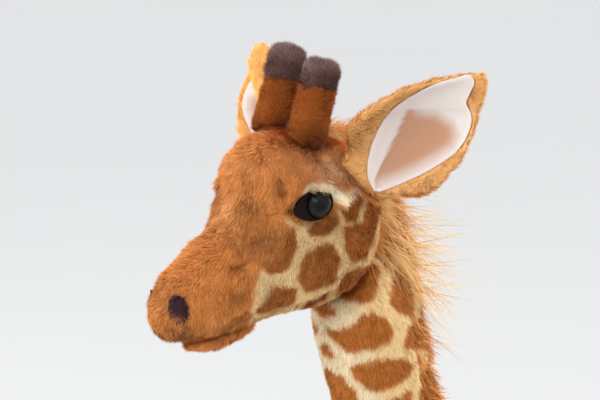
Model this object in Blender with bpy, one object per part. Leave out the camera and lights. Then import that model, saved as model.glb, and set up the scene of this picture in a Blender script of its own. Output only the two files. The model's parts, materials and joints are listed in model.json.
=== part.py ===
"""A standing plush giraffe: stuffed forms over steel stiffeners, with horns, ears, mane and tail sewn on.

Metres, +Z up. The giraffe faces -Y and its left side is +X. The origin lies on the floor, under the middle of
its bounds. Each stuffed form is lofted along a centre line from a table of shares of its own named sizes.
"""

import math

import bmesh
import bpy
import numpy as np
from mathutils import Matrix, Vector

# Seams, fits and cutters
SEAM_GAP = 0.0003
BORE_CLEARANCE = 0.0003
CUT_OVERRUN = 0.012
WELD = 0.000001

# Body
BODY_LENGTH = 0.200
BODY_HEIGHT = 0.126
BODY_WIDTH = 0.094
BODY_AXIS_HEIGHT = 0.288

# Neck
NECK_DEPTH = 0.050
NECK_WIDTH = 0.048
NECK_TOP_LEAN = math.radians(15)
NECK_BASE_LEAN = math.radians(24)
NECK_BASE_RISE = 0.012
NECK_TOP_BACK = 0.010
NECK_TOP_DROP = 0.031

# Head
HEAD_LENGTH = 0.1235
HEAD_HEIGHT = 0.080
HEAD_WIDTH = 0.055
HEAD_PITCH = math.radians(22)
NAPE_HEIGHT = 0.5376
NAPE_REACH = 0.0907
BROW_SWELL = 0.0024
BROW_REACH = 0.0095
SOCKET_DEPTH = 0.0026
SOCKET_REACH = 0.0085
CHEEK_SWELL = 0.0022
CHEEK_REACH = 0.0160
NOSE_SWELL = 0.0020
NOSE_REACH = 0.0085

# Lower jaw
JAW_LENGTH = 0.046
JAW_HEIGHT = 0.014
JAW_WIDTH = 0.027
JAW_INSET = 0.0038
JAW_SET_BACK = 0.0110

# Horns
HORN_LENGTH = 0.0395
HORN_ROOT = 0.006
HORN_WIDTH = 0.0190
HORN_TIP_LENGTH = 0.014
HORN_LEAN = math.radians(17)

# Ears
EAR_LENGTH = 0.074
EAR_WIDTH = 0.047
EAR_ROOT_RADIUS = 0.0045
EAR_CUP = 0.0110
EAR_RIM = 0.0048
EAR_STANDOFF = 0.0016
EAR_SWEEPS = {1: math.radians(17), -1: math.radians(18)}
EAR_RISES = {1: math.radians(39), -1: math.radians(37)}
EAR_ROLLS = {1: math.radians(62), -1: math.radians(97)}
LINING_THICKNESS = 0.0008

# Eyes, with the dark rim under each dome and the lock washer on each stem
EYE_DIAMETER = 0.0120
EYE_DOME_HEIGHT = 0.0052
STEM_DIAMETER = 0.0045
STEM_LENGTH = 0.0125
RIM_FRONT = 0.0125
RIM_BACK = 0.0082
RIM_HEIGHT = 0.0138
RIM_THICKNESS = 0.0010
RIM_SINK = 0.0016
RIM_PITCH = math.radians(8)
WASHER_DIAMETER = 0.0150
WASHER_THICKNESS = 0.0016
WASHER_DEPTH = 0.0085

# Nostrils
NOSTRIL_LENGTH = 0.0125
NOSTRIL_WIDTH = 0.0080
NOSTRIL_THICKNESS = 0.0032
NOSTRIL_SINK = 0.0005

# Mane
MANE_WIDTH = 0.0120
MANE_HEIGHT = 0.0130

# Legs and hooves
LEG_TOP_RISE = 0.014
LEG_WIDTH = 0.040
FRONT_LEG_DEPTH = 0.056
REAR_LEG_DEPTH = 0.068
FOOT_SPREAD = 0.035
HIP_SPREAD = 0.0275
HOCK_SET_BACK = 0.007
HOOF_HEIGHT = 0.026
HOOF_WIDTH = 0.0310
HOOF_LENGTH = 0.0340
HOOF_LIP = 0.0007
HOOF_TOE_LEAD = 0.0030
SOLE_ROUNDING = 0.0012

# Tail
TAIL_LENGTH = 0.098
TAIL_WIDTH = 0.0088
TAIL_BALL_RADIUS = 0.0062
TAIL_STANDOFF = 0.0046
TAIL_TOP_ANGLE = math.radians(32)
TAIL_END_ANGLE = math.radians(4)
TUFT_LENGTH = 0.044
TUFT_WIDTH = 0.0170

# Steel stiffeners
WIRE_RADIUS = 0.0015
WIRE_TURN_RADIUS = 0.012
WIRE_FOOT_RISE = 0.020
WIRE_CROSSBAR_RISE = 0.004
WIRE_STEP = 0.016

# Each row is a share of the length, then crown and belly as shares of the height and half-width as one of the
# width
HEAD_SHARES = (
    (0.000, -0.105, -0.105, 0.000),
    (0.045, 0.015, -0.200, 0.175),
    (0.095, 0.080, -0.250, 0.260),
    (0.160, 0.130, -0.290, 0.320),
    (0.245, 0.170, -0.320, 0.355),
    (0.326, 0.195, -0.355, 0.368),
    (0.412, 0.250, -0.385, 0.390),
    (0.470, 0.360, -0.420, 0.430),
    (0.528, 0.480, -0.460, 0.465),
    (0.586, 0.550, -0.495, 0.485),
    (0.653, 0.560, -0.515, 0.495),
    (0.731, 0.520, -0.515, 0.500),
    (0.807, 0.450, -0.480, 0.485),
    (0.904, 0.330, -0.350, 0.415),
    (0.971, 0.150, -0.190, 0.260),
    (1.000, -0.030, -0.030, 0.000),
)
JAW_SHARES = (
    (0.00, 0.0, 0.0, 0.00),
    (0.12, 0.36, -0.34, 0.34),
    (0.35, 0.50, -0.50, 0.48),
    (0.60, 0.50, -0.48, 0.50),
    (0.85, 0.36, -0.34, 0.38),
    (1.00, 0.0, 0.0, 0.00),
)
BODY_SHARES = (
    (0.00, 0.02, 0.02, 0.00),
    (0.06, 0.25, -0.27, 0.28),
    (0.18, 0.44, -0.44, 0.43),
    (0.36, 0.50, -0.50, 0.49),
    (0.58, 0.41, -0.48, 0.50),
    (0.78, 0.30, -0.41, 0.46),
    (0.93, 0.16, -0.24, 0.31),
    (1.00, -0.04, -0.04, 0.00),
)
NECK_SHARES = (
    (0.00, 0.00, 0.00, 0.00),
    (0.08, 0.38, -0.40, 0.38),
    (0.17, 0.50, -0.49, 0.50),
    (0.38, 0.47, -0.46, 0.475),
    (0.58, 0.51, -0.50, 0.52),
    (0.74, 0.62, -0.62, 0.65),
    (0.88, 0.84, -0.82, 0.79),
    (0.96, 0.62, -0.62, 0.58),
    (1.00, 0.00, 0.00, 0.00),
)
FRONT_LEG_SHARES = (
    (0.00, 0.225, -0.225, 0.320),
    (0.10, 0.196, -0.196, 0.278),
    (0.27, 0.220, -0.220, 0.305),
    (0.40, 0.275, -0.265, 0.375),
    (0.50, 0.262, -0.268, 0.365),
    (0.68, 0.380, -0.400, 0.440),
    (0.82, 0.500, -0.500, 0.500),
    (0.93, 0.400, -0.420, 0.400),
    (1.00, 0.000, 0.000, 0.000),
)
REAR_LEG_SHARES = (
    (0.00, 0.188, -0.188, 0.320),
    (0.10, 0.165, -0.165, 0.278),
    (0.27, 0.185, -0.188, 0.305),
    (0.40, 0.215, -0.245, 0.370),
    (0.50, 0.235, -0.240, 0.372),
    (0.68, 0.400, -0.375, 0.455),
    (0.82, 0.500, -0.480, 0.500),
    (0.93, 0.400, -0.400, 0.400),
    (1.00, 0.000, 0.000, 0.000),
)
HORN_SHARES = (
    (0.00, 0.00, 0.00, 0.00),
    (0.08, 0.42, -0.42, 0.42),
    (0.30, 0.50, -0.50, 0.50),
    (0.60, 0.470, -0.470, 0.470),
    (1.00, 0.455, -0.455, 0.455),
)
HORN_TIP_SHARES = (
    (0.00, 0.455, -0.455, 0.455),
    (0.50, 0.500, -0.500, 0.500),
    (0.84, 0.440, -0.440, 0.440),
    (1.00, 0.00, 0.00, 0.00),
)
TAIL_SHARES = (
    (0.00, 0.50, -0.50, 0.50),
    (0.50, 0.46, -0.46, 0.46),
    (1.00, 0.44, -0.44, 0.44),
)
TUFT_SHARES = (
    (0.00, 0.26, -0.26, 0.26),
    (0.30, 0.42, -0.42, 0.42),
    (0.60, 0.50, -0.50, 0.50),
    (0.88, 0.30, -0.30, 0.30),
    (1.00, 0.00, 0.00, 0.00),
)
MANE_SHARES = (
    (0.00, 0.00, 0.00, 0.00),
    (0.04, 0.55, -0.60, 0.36),
    (0.12, 0.85, -0.80, 0.50),
    (0.80, 0.85, -0.80, 0.50),
    (0.95, 0.50, -0.60, 0.36),
    (1.00, 0.00, 0.00, 0.00),
)
# Each row is a share of the ear's length, then its half-width, thickness and cup as shares of its width, its
# root's diameter and its cup
EAR_SHARES = (
    (0.00, 0.300, 1.00, 0.00),
    (0.06, 0.345, 0.90, 0.10),
    (0.15, 0.425, 0.75, 0.45),
    (0.34, 0.500, 0.66, 1.00),
    (0.60, 0.450, 0.60, 0.95),
    (0.75, 0.365, 0.55, 0.70),
    (0.88, 0.245, 0.50, 0.30),
    (1.00, 0.000, 0.00, 0.00),
)

# Where pieces sit: shares of a form's length, and angles from its crown
JAW_PLACE_SHARE = 0.245
NECK_BASE_SHARE = 0.315
EYE_SHARE = 0.6674
EYE_ANGLE = math.radians(78)
BROW_SHARE = 0.5572
BROW_ANGLE = math.radians(52)
CHEEK_SHARE = 0.6531
CHEEK_ANGLE = math.radians(108)
NOSE_SHARE = 0.122
NOSE_ANGLE = math.radians(62)
NOSTRIL_SHARE = 0.070
NOSTRIL_ANGLE = math.radians(54)
HORN_SHARE = 0.7541
HORN_ANGLE = math.radians(24)
EAR_SHARE = 0.8699
EAR_ANGLE = math.radians(66)
EAR_LINING_START_SHARE = 0.10
EAR_LINING_END_SHARE = 0.925
LEAST_LINED_SHARE = 0.4
FRONT_LEG_SHARE = 0.170
REAR_LEG_SHARE = 0.835
TAIL_SHARE = 0.985
MANE_HEAD_SHARES = (0.837, 0.933)
MANE_NECK_SHARES = (0.20, 0.36, 0.52, 0.68, 0.80, 0.87)
WIRE_TOP_SHARE = 0.04
WIRE_END_SHARE = 0.94
HOCK_SHARE = 0.40

# How full some curves are, as powers
HEAD_FULLNESS = 2.5
EAR_EDGE_POWER = 0.3
RIM_CORNER_POWER = 1.35

# Faces round and along each form
HEAD_FACETS = (26, 28)
BODY_FACETS = (20, 20)
NECK_FACETS = (18, 18)
LEG_FACETS = (14, 16)
SMALL_FACETS = (14, 8)
JAW_FACETS = (14, 10)
MANE_FACETS = (8, 24)
EAR_FACETS = (18, 15)
ROUND_STEPS = 20
BALL_STEPS = 14
DOME_STEPS = 5
WIRE_RESOLUTION = 1
WIRE_TURN_STEPS = 4
LENGTH_SAMPLES = 50
SHARE_STEP = 0.001
SMOOTH_BELOW = math.radians(50)
SIDES = (("left", 1), ("right", -1))


def eased(knots, values, at):
    """The monotone cubic through the knots, which swells and tapers without overshoot, read at one place."""
    knots = np.asarray(knots, float)
    values = np.asarray(values, float)
    steps = np.diff(knots)
    slopes = np.diff(values) / steps
    ends = np.zeros(len(knots))
    ends[0], ends[-1] = slopes[0], slopes[-1]
    for i in range(1, len(knots) - 1):
        if slopes[i - 1] * slopes[i] > 0:
            before, after = 2 * steps[i] + steps[i - 1], steps[i] + 2 * steps[i - 1]
            ends[i] = (before + after) / (before / slopes[i - 1] + after / slopes[i])
    i = int(np.clip(np.searchsorted(knots, at) - 1, 0, len(steps) - 1))
    t = (at - knots[i]) / steps[i]
    start, end = values[i], values[i + 1]
    lean_in, lean_out = ends[i] * steps[i], ends[i + 1] * steps[i]
    return (
        start * (1 + 2 * t) * (1 - t) ** 2
        + lean_in * t * (1 - t) ** 2
        + end * t * t * (3 - 2 * t)
        + lean_out * t * t * (t - 1)
    )


def straight(start, end):
    return lambda share: start.lerp(end, share)


def bent(start, end, start_way, end_way):
    """A centre line that leaves the start one way and reaches the end another, as a function of the share."""
    reach = (end - start).length

    def line(t):
        return (
            start * ((1 + 2 * t) * (1 - t) ** 2)
            + start_way * (reach * t * (1 - t) ** 2)
            + end * (t * t * (3 - 2 * t))
            + end_way * (reach * t * t * (t - 1))
        )

    return line


def through(points):
    """A smooth centre line through points, as a function of the share of its length."""
    lengths = [(b - a).length for a, b in zip(points, points[1:])]
    knots = np.concatenate([[0], np.cumsum(lengths)]) / sum(lengths)

    def line(share):
        return Vector([eased(knots, [point[axis] for point in points], share) for axis in range(3)])

    return line


class Form:
    """A stuffed form: rings round a centre line, each with its own crown, belly and half-width.

    A share runs from 0 at the line's start to 1 at its end. An angle runs from the crown towards +X.
    A round end closes in a pole, and a flat end in one flat face. Level rings stay level on a leaning line.
    """

    def __init__(
        self, line, shares, height, width, flat_start=False, flat_end=False, level=False, fullness=2
    ):
        self.line = line
        self.level = level
        self.rows = [(s, crown * height, belly * height, half * width) for s, crown, belly, half in shares]
        self.flat_start, self.flat_end = flat_start, flat_end
        self.fullness = fullness
        self.swells = []

    def warp(self, share):
        """The share on a scale where a round end's radius grows steadily."""
        if self.flat_start and self.flat_end:
            return share
        if self.flat_start:
            return math.asin(share)
        if self.flat_end:
            return math.acos(1 - share)
        return math.acos(1 - 2 * share)

    def unwarp(self, place):
        if self.flat_start and self.flat_end:
            return place
        if self.flat_start:
            return math.sin(place)
        if self.flat_end:
            return 1 - math.cos(place)
        return (1 - math.cos(place)) / 2

    def frame(self, share):
        """The ring's centre, and its directions along the line, to the side (+X) and to the crown."""
        before, after = max(share - SHARE_STEP, 0), min(share + SHARE_STEP, 1)
        along = Vector((0, 0, 1)) if self.level else (self.line(after) - self.line(before)).normalized()
        side = Vector((1, 0, 0))
        side = (side - along * side.dot(along)).normalized()
        return self.line(share), along, side, side.cross(along)

    def size(self, share):
        knots = [self.warp(row[0]) for row in self.rows]
        place = self.warp(share)
        return [eased(knots, [row[i] for row in self.rows], place) for i in (1, 2, 3)]

    def plain_point(self, share, angle):
        centre, _, side, crown = self.frame(share)
        top, bottom, half_width = self.size(share)
        power = 2 / self.fullness
        across = math.copysign(abs(math.sin(angle)) ** power, math.sin(angle)) * half_width
        up = math.copysign(abs(math.cos(angle)) ** power, math.cos(angle)) * (top - bottom) / 2
        return centre + side * across + crown * (up + (top + bottom) / 2)

    def swell(self, share, angle, reach, push):
        """Pushes the surface out, or in where push is negative, round a place and its mirror image."""
        for way in (1, -1):
            self.swells.append((self.plain_point(share, way * angle), reach, push))

    def point(self, share, angle):
        plain = self.plain_point(share, angle)
        _, _, side, crown = self.frame(share)
        out = side * math.sin(angle) + crown * math.cos(angle)
        moved = sum(
            push * math.exp(-(((plain - place).length / reach) ** 2)) for place, reach, push in self.swells
        )
        return plain + out * moved

    def normal(self, share, angle):
        before, after = max(share - SHARE_STEP, 0), min(share + SHARE_STEP, 1)
        turn = 2 * math.pi * SHARE_STEP
        along = self.point(after, angle) - self.point(before, angle)
        around = self.point(share, angle + turn) - self.point(share, angle - turn)
        return around.cross(along).normalized()

    def bmesh(self, facets, grow=0):
        """The closed surface with this many faces round and along, grown outwards for a cutter."""
        round_count, along_count = facets
        bm = bmesh.new()
        first = 0 if self.flat_start else 1
        last = along_count if self.flat_end else along_count - 1
        places = np.linspace(self.warp(0), self.warp(1), along_count + 1)
        turns = [2 * math.pi * j / round_count for j in range(round_count)]
        rings = []
        for k in range(first, last + 1):
            share = min(max(self.unwarp(places[k]), 0), 1)
            rings.append([bm.verts.new(self.point(share, turn)) for turn in turns])
        for ring, following in zip(rings, rings[1:]):
            for j in range(round_count):
                n = (j + 1) % round_count
                bm.faces.new((ring[j], ring[n], following[n], following[j]))
        for ring, flat, share in ((rings[0], self.flat_start, 0), (rings[-1], self.flat_end, 1)):
            if flat:
                bm.faces.new(ring)
                continue
            pole = bm.verts.new(self.point(share, 0))
            for j in range(round_count):
                bm.faces.new((ring[j], ring[(j + 1) % round_count], pole))
        bmesh.ops.recalc_face_normals(bm, faces=bm.faces)
        if grow:
            bm.normal_update()
            moves = [(vert, vert.normal * grow) for vert in bm.verts]
            for vert, move in moves:
                vert.co += move
        return bm


def spun(profile, closed=False, steps=ROUND_STEPS):
    """A turned shape about local Z, from (radius, height) points that end on the axis, or that close."""
    bm = bmesh.new()
    verts = [bm.verts.new((radius, 0, height)) for radius, height in profile]
    pairs = list(zip(verts, verts[1:])) + ([(verts[-1], verts[0])] if closed else [])
    edges = [bm.edges.new(pair) for pair in pairs]
    bmesh.ops.spin(
        bm, geom=verts + edges, cent=(0, 0, 0), axis=(0, 0, 1), angle=2 * math.pi, steps=steps, use_merge=True
    )
    bmesh.ops.remove_doubles(bm, verts=bm.verts, dist=WELD)
    bmesh.ops.recalc_face_normals(bm, faces=bm.faces)
    return bm


def plate(outline, low, high):
    """A flat plate of this outline in local X and Y, between two heights."""
    bm = bmesh.new()
    bottom = bm.faces.new([bm.verts.new((x, y, low)) for x, y in outline])
    top = bmesh.ops.extrude_face_region(bm, geom=[bottom])
    raised = [item for item in top["geom"] if isinstance(item, bmesh.types.BMVert)]
    bmesh.ops.translate(bm, verts=raised, vec=(0, 0, high - low))
    bmesh.ops.recalc_face_normals(bm, faces=bm.faces)
    return bm


def facing(origin, out, forward):
    """The matrix of a seat: its own Z points out of the surface, and its X forwards along it."""
    forward = (forward - out * forward.dot(out)).normalized()
    matrix = Matrix((forward, out.cross(forward), out)).transposed().to_4x4()
    matrix.translation = origin
    return matrix


def clear_scene():
    for obj in list(bpy.data.objects):
        bpy.data.objects.remove(obj, do_unlink=True)


def material(name, colour, roughness, metallic=0):
    made = bpy.data.materials.new(name)
    made.use_nodes = True
    surface = made.node_tree.nodes["Principled BSDF"]
    surface.inputs["Base Color"].default_value = (*colour, 1)
    surface.inputs["Roughness"].default_value = roughness
    surface.inputs["Metallic"].default_value = metallic
    made.diffuse_color = (*colour, 1)
    return made


def materials():
    return {
        "plush": material("plush", (0.48, 0.16, 0.045), 0.95),
        "cream_plush": material("cream_plush", (0.80, 0.62, 0.42), 0.95),
        "dark_plush": material("dark_plush", (0.065, 0.030, 0.020), 0.95),
        "mane_plush": material("mane_plush", (0.45, 0.17, 0.05), 0.95),
        "satin": material("satin", (0.78, 0.68, 0.65), 0.45),
        "eye_plastic": material("eye_plastic", (0.010, 0.009, 0.010), 0.06),
        "rim_felt": material("rim_felt", (0.022, 0.012, 0.009), 0.8),
        "washer_plastic": material("washer_plastic", (0.75, 0.75, 0.73), 0.4),
        "steel": material("steel", (0.55, 0.55, 0.56), 0.35, metallic=1),
    }


def add(name, bm, surface, origin=None, matrix=None):
    """An object of this mesh. Its origin goes to the given place, and a matrix first seats the mesh."""
    if matrix:
        bmesh.ops.transform(bm, matrix=matrix, verts=bm.verts)
        if matrix.determinant() < 0:
            bmesh.ops.reverse_faces(bm, faces=bm.faces)
    origin = origin or Vector((0, 0, 0))
    bmesh.ops.translate(bm, vec=-origin, verts=bm.verts)
    mesh = bpy.data.meshes.new(name)
    bm.to_mesh(mesh)
    bm.free()
    mesh.shade_smooth()
    mesh.set_sharp_from_angle(angle=SMOOTH_BELOW)
    mesh.materials.append(surface)
    obj = bpy.data.objects.new(name, mesh)
    obj.location = origin
    bpy.context.scene.collection.objects.link(obj)
    return obj


def cutter(name, bm, matrix=None):
    obj = add(name, bm, None, matrix=matrix)
    obj.hide_render = True
    obj.display_type = "WIRE"
    return obj


def cut(obj, tool):
    modifier = obj.modifiers.new(tool.name, "BOOLEAN")
    modifier.operation = "DIFFERENCE"
    modifier.solver = "EXACT"
    modifier.object = tool


def join(obj, tool):
    modifier = obj.modifiers.new(tool.name, "BOOLEAN")
    modifier.operation = "UNION"
    modifier.solver = "EXACT"
    modifier.object = tool


def ball(centre, radius):
    """A turned ball, as a profile of half a circle."""
    count = BALL_STEPS // 2
    turns = [math.pi * (k / count - 1 / 2) for k in range(count + 1)]
    arc = [(radius * math.cos(turn), radius * math.sin(turn)) for turn in turns[1:-1]]
    bm = spun([(0, -radius), *arc, (0, radius)], steps=BALL_STEPS)
    bmesh.ops.translate(bm, vec=centre, verts=bm.verts)
    return bm


def rod(start, end, radius):
    """A straight round bar between two points."""
    length = (end - start).length
    bm = spun([(0, 0), (radius, 0), (radius, length), (0, length)])
    turn = (end - start).to_track_quat("Z", "Y").to_matrix().to_4x4()
    turn.translation = start
    bmesh.ops.transform(bm, matrix=turn, verts=bm.verts)
    return bm


def tube(name, points, radius, surface):
    """A bent wire as a curve with a round bevel and filled caps."""
    curve = bpy.data.curves.new(name, "CURVE")
    curve.dimensions = "3D"
    curve.bevel_depth = radius
    curve.bevel_resolution = WIRE_RESOLUTION
    curve.use_fill_caps = True
    spline = curve.splines.new("POLY")
    spline.points.add(len(points) - 1)
    for spot, point in zip(spline.points, points):
        spot.co = (*point, 1)
    curve.materials.append(surface)
    obj = bpy.data.objects.new(name, curve)
    bpy.context.scene.collection.objects.link(obj)
    return obj


def bore(name, points):
    """The cutter for a wire's bore: the same tube, wider by the clearance and with its ends run on by it."""
    ends = [(points[0] - points[1]).normalized(), (points[-1] - points[-2]).normalized()]
    longer = [points[0] + ends[0] * BORE_CLEARANCE, *points[1:-1], points[-1] + ends[1] * BORE_CLEARANCE]
    guide = tube(name + "_guide", longer, WIRE_RADIUS + BORE_CLEARANCE, None)
    mesh = bpy.data.meshes.new_from_object(guide.evaluated_get(bpy.context.evaluated_depsgraph_get()))
    bpy.data.objects.remove(guide)
    bm = bmesh.new()
    bm.from_mesh(mesh)
    bpy.data.meshes.remove(mesh)
    bmesh.ops.remove_doubles(bm, verts=bm.verts, dist=WELD)
    bmesh.ops.recalc_face_normals(bm, faces=bm.faces)
    return cutter(name, bm)


def head_form():
    along = Vector((0, math.cos(HEAD_PITCH), math.sin(HEAD_PITCH)))
    nape = Vector((0, -NAPE_REACH, NAPE_HEIGHT))
    line = straight(nape - along * HEAD_LENGTH, nape)
    form = Form(line, HEAD_SHARES, HEAD_HEIGHT, HEAD_WIDTH, fullness=HEAD_FULLNESS)
    form.swell(BROW_SHARE, BROW_ANGLE, BROW_REACH, BROW_SWELL)
    form.swell(EYE_SHARE, EYE_ANGLE, SOCKET_REACH, -SOCKET_DEPTH)
    form.swell(CHEEK_SHARE, CHEEK_ANGLE, CHEEK_REACH, CHEEK_SWELL)
    form.swell(NOSE_SHARE, NOSE_ANGLE, NOSE_REACH, NOSE_SWELL)
    return form


def jaw_form(head):
    """The lower jaw, sewn on under the mouth: its upper half lies within the head's form."""
    start, along, _, crown = head.frame(0)
    belly = head.size(JAW_PLACE_SHARE)[1]
    start = start + crown * (belly + JAW_INSET) + along * JAW_SET_BACK
    return Form(straight(start, start + along * JAW_LENGTH), JAW_SHARES, JAW_HEIGHT, JAW_WIDTH)


def body_form():
    chest = Vector((0, -BODY_LENGTH / 2, BODY_AXIS_HEIGHT))
    rump = Vector((0, BODY_LENGTH / 2, BODY_AXIS_HEIGHT))
    return Form(straight(chest, rump), BODY_SHARES, BODY_HEIGHT, BODY_WIDTH)


def neck_form(head, body):
    start = head.line(1) + Vector((0, -NECK_TOP_BACK, -NECK_TOP_DROP))
    end = body.line(NECK_BASE_SHARE) + Vector((0, 0, NECK_BASE_RISE))
    start_way = Vector((0, math.sin(NECK_TOP_LEAN), -math.cos(NECK_TOP_LEAN)))
    end_way = Vector((0, math.sin(NECK_BASE_LEAN), -math.cos(NECK_BASE_LEAN)))
    return Form(bent(start, end, start_way, end_way), NECK_SHARES, NECK_DEPTH, NECK_WIDTH)


def leg_form(body, share, way, table, depth, set_back):
    """A leg from its hoof's top up into the body. A rear leg's hock is set back from the straight line."""
    spine = body.line(share)
    foot = Vector((way * FOOT_SPREAD, spine.y, HOOF_HEIGHT + SEAM_GAP))
    hip = Vector((way * HIP_SPREAD, spine.y, spine.z + LEG_TOP_RISE))
    hock = foot.lerp(hip, HOCK_SHARE) + Vector((0, set_back, 0))
    line = through([foot, hock, hip]) if set_back else straight(foot, hip)
    return Form(line, table, depth, LEG_WIDTH, flat_start=True, level=True)


def horn_forms(head, way):
    """A horn's shaft and its tip, on one line that leans back from the top of the head."""
    base = head.point(HORN_SHARE, way * HORN_ANGLE)
    up = Vector((0, math.sin(HORN_LEAN), math.cos(HORN_LEAN)))
    seam = base + up * (HORN_LENGTH - HORN_TIP_LENGTH)
    shaft = Form(straight(base - up * HORN_ROOT, seam), HORN_SHARES, HORN_WIDTH, HORN_WIDTH, flat_end=True)
    start = seam + up * SEAM_GAP
    tip_line = straight(start, start + up * HORN_TIP_LENGTH)
    tip = Form(tip_line, HORN_TIP_SHARES, HORN_WIDTH, HORN_WIDTH, flat_start=True)
    return shaft, tip


def mane_form(head, neck):
    spots = [head.point(share, 0) for share in MANE_HEAD_SHARES]
    spots += [neck.point(share, 0) for share in MANE_NECK_SHARES]
    return Form(through(spots), MANE_SHARES, MANE_HEIGHT, MANE_WIDTH)


def ear_axes(way):
    """The ear's own directions: along its length, across it, and out of its open side."""
    sweep, rise, roll = EAR_SWEEPS[way], EAR_RISES[way], EAR_ROLLS[way]
    ahead = Vector((math.cos(sweep), math.sin(sweep), 0))
    along = ahead * math.cos(rise) + Vector((0, 0, math.sin(rise)))
    level = Vector((-math.sin(sweep), math.cos(sweep), 0))
    across = level * math.cos(roll) - along.cross(level) * math.sin(roll)
    out = across.cross(along)
    return [Vector((way * v.x, v.y, v.z)) for v in (along, across, out)]


def ear_row(share):
    """The ear's half-width, thickness and cup at a share of its length."""
    knots = [math.asin(row[0]) for row in EAR_SHARES]
    half, thick, cup = [eased(knots, [row[i] for row in EAR_SHARES], math.asin(share)) for i in (1, 2, 3)]
    return half * EAR_WIDTH, thick * 2 * EAR_ROOT_RADIUS, cup * EAR_CUP


def leaf(hinge, way, shares, section):
    """A cupped leaf lofted along the ear: section gives each ring's points across and out of the open side.

    Its quads split on the diagonal that runs to +X, so that a lining's facets lie parallel to its ear's.
    """
    along, across, out = ear_axes(way)
    bm = bmesh.new()
    outlines = [section(share) for share in shares]
    rings = []
    for share, outline in zip(shares, outlines):
        centre = hinge + along * (share * EAR_LENGTH)
        rings.append([bm.verts.new(centre + across * x + out * y) for x, y in outline])
    count = len(rings[0])
    for outline, ring, following in zip(outlines, rings, rings[1:]):
        for j in range(count):
            n = (j + 1) % count
            if outline[j].x < outline[n].x:
                j, n = n, j
            bm.faces.new((ring[j], ring[n], following[j]))
            bm.faces.new((ring[n], following[n], following[j]))
    bm.faces.new(rings[0])
    bm.faces.new(rings[-1])
    bmesh.ops.recalc_face_normals(bm, faces=bm.faces)
    return bm


def ear_curve(share, x, side):
    """A point of the ear's section: on its back for side -1, and on its open side for side 1."""
    half, thick, cup = ear_row(share)
    place = min(abs(x / half), 1)
    return Vector((x, cup * place**2 + side * (1 - place**2) ** EAR_EDGE_POWER * thick / 2))


def lined_half_width(share):
    half = ear_row(share)[0]
    return max(half - EAR_RIM, half * LEAST_LINED_SHARE)


def ear_section(share):
    """A banana with round edges, let in by the lining's thickness where the lining lies in its open side."""
    half, edge = ear_row(share)[0], lined_half_width(share)
    lined = EAR_LINING_START_SHARE <= share <= EAR_LINING_END_SHARE
    sink = Vector((0, -(LINING_THICKNESS + SEAM_GAP) if lined else 0))
    count = EAR_FACETS[0] // 2
    back = [ear_curve(share, half * math.cos(math.pi * k / count), -1) for k in range(count + 1)]
    rim = [ear_curve(share, x, 1) for x in ((half + edge) / 2, edge + SEAM_GAP)]
    floor = [ear_curve(share, edge * (2 * k / count - 1), 1) + sink for k in range(count + 1)]
    mirrored = [Vector((-point.x, point.y)) for point in rim]
    return [*back, *mirrored, *floor, *reversed(rim)]


def lining_section(share):
    """A thin sheet that follows the ear's open side inside its rim."""
    edge = lined_half_width(share)
    count = EAR_FACETS[0] // 2
    share_inside = 1 - SEAM_GAP / edge
    places = [edge * (2 * k / count - 1) for k in range(count + 1)]
    places[0], places[-1] = places[0] * share_inside, places[-1] * share_inside
    face = [ear_curve(share, x, 1) for x in places]
    return face + [point - Vector((0, LINING_THICKNESS)) for point in reversed(face)]


def build_ear(side, way, head, parts, surfaces):
    """An ear on a round root in a groove of the head, and the satin lining let into its open side."""
    hinge = head.point(EAR_SHARE, way * EAR_ANGLE) + head.normal(EAR_SHARE, way * EAR_ANGLE) * EAR_STANDOFF
    along, across, _ = ear_axes(way)
    steps = EAR_FACETS[1]
    step = SEAM_GAP / EAR_LENGTH
    start, end = EAR_LINING_START_SHARE, EAR_LINING_END_SHARE
    even = [math.sin(math.pi / 2 * k / steps) for k in range(steps)]
    inside = [share for share in even if start + step < share < end - step]
    shares = [*(s for s in even if s < start - step), start - step, start, *inside, end, end + step]
    shares += [*(s for s in even if s > end + step), 1 - SHARE_STEP]
    leaf_mesh = leaf(hinge, way, shares, ear_section)
    half = ear_row(0)[0]
    ear = add(side + "_ear", leaf_mesh, surfaces["plush"], origin=hinge)
    root = cutter(side + "_ear_root", rod(hinge - across * half, hinge + across * half, EAR_ROOT_RADIUS))
    join(ear, root)
    lined = [start + step, *inside, end - step]
    lining_mesh = leaf(hinge, way, lined, lining_section)
    lining = add(side + "_ear_lining", lining_mesh, surfaces["satin"], origin=hinge)
    reach = half + SEAM_GAP
    groove = rod(hinge - across * reach, hinge + across * reach, EAR_ROOT_RADIUS + SEAM_GAP)
    cut(parts["head"], cutter(side + "_ear_groove", groove))
    parts[side + "_ear"], parts[side + "_ear_lining"] = ear, lining


def almond(front, back, height, count):
    """The outline of an eye rim: a round-backed almond, X forwards."""
    points = []
    for k in range(count):
        turn = 2 * math.pi * k / count
        reach = front if math.cos(turn) > 0 else back
        power = 1 if math.cos(turn) < 0 else RIM_CORNER_POWER
        y = math.copysign(abs(math.sin(turn)) ** power, math.sin(turn)) * height / 2
        points.append((reach * math.cos(turn), y))
    return points


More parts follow.
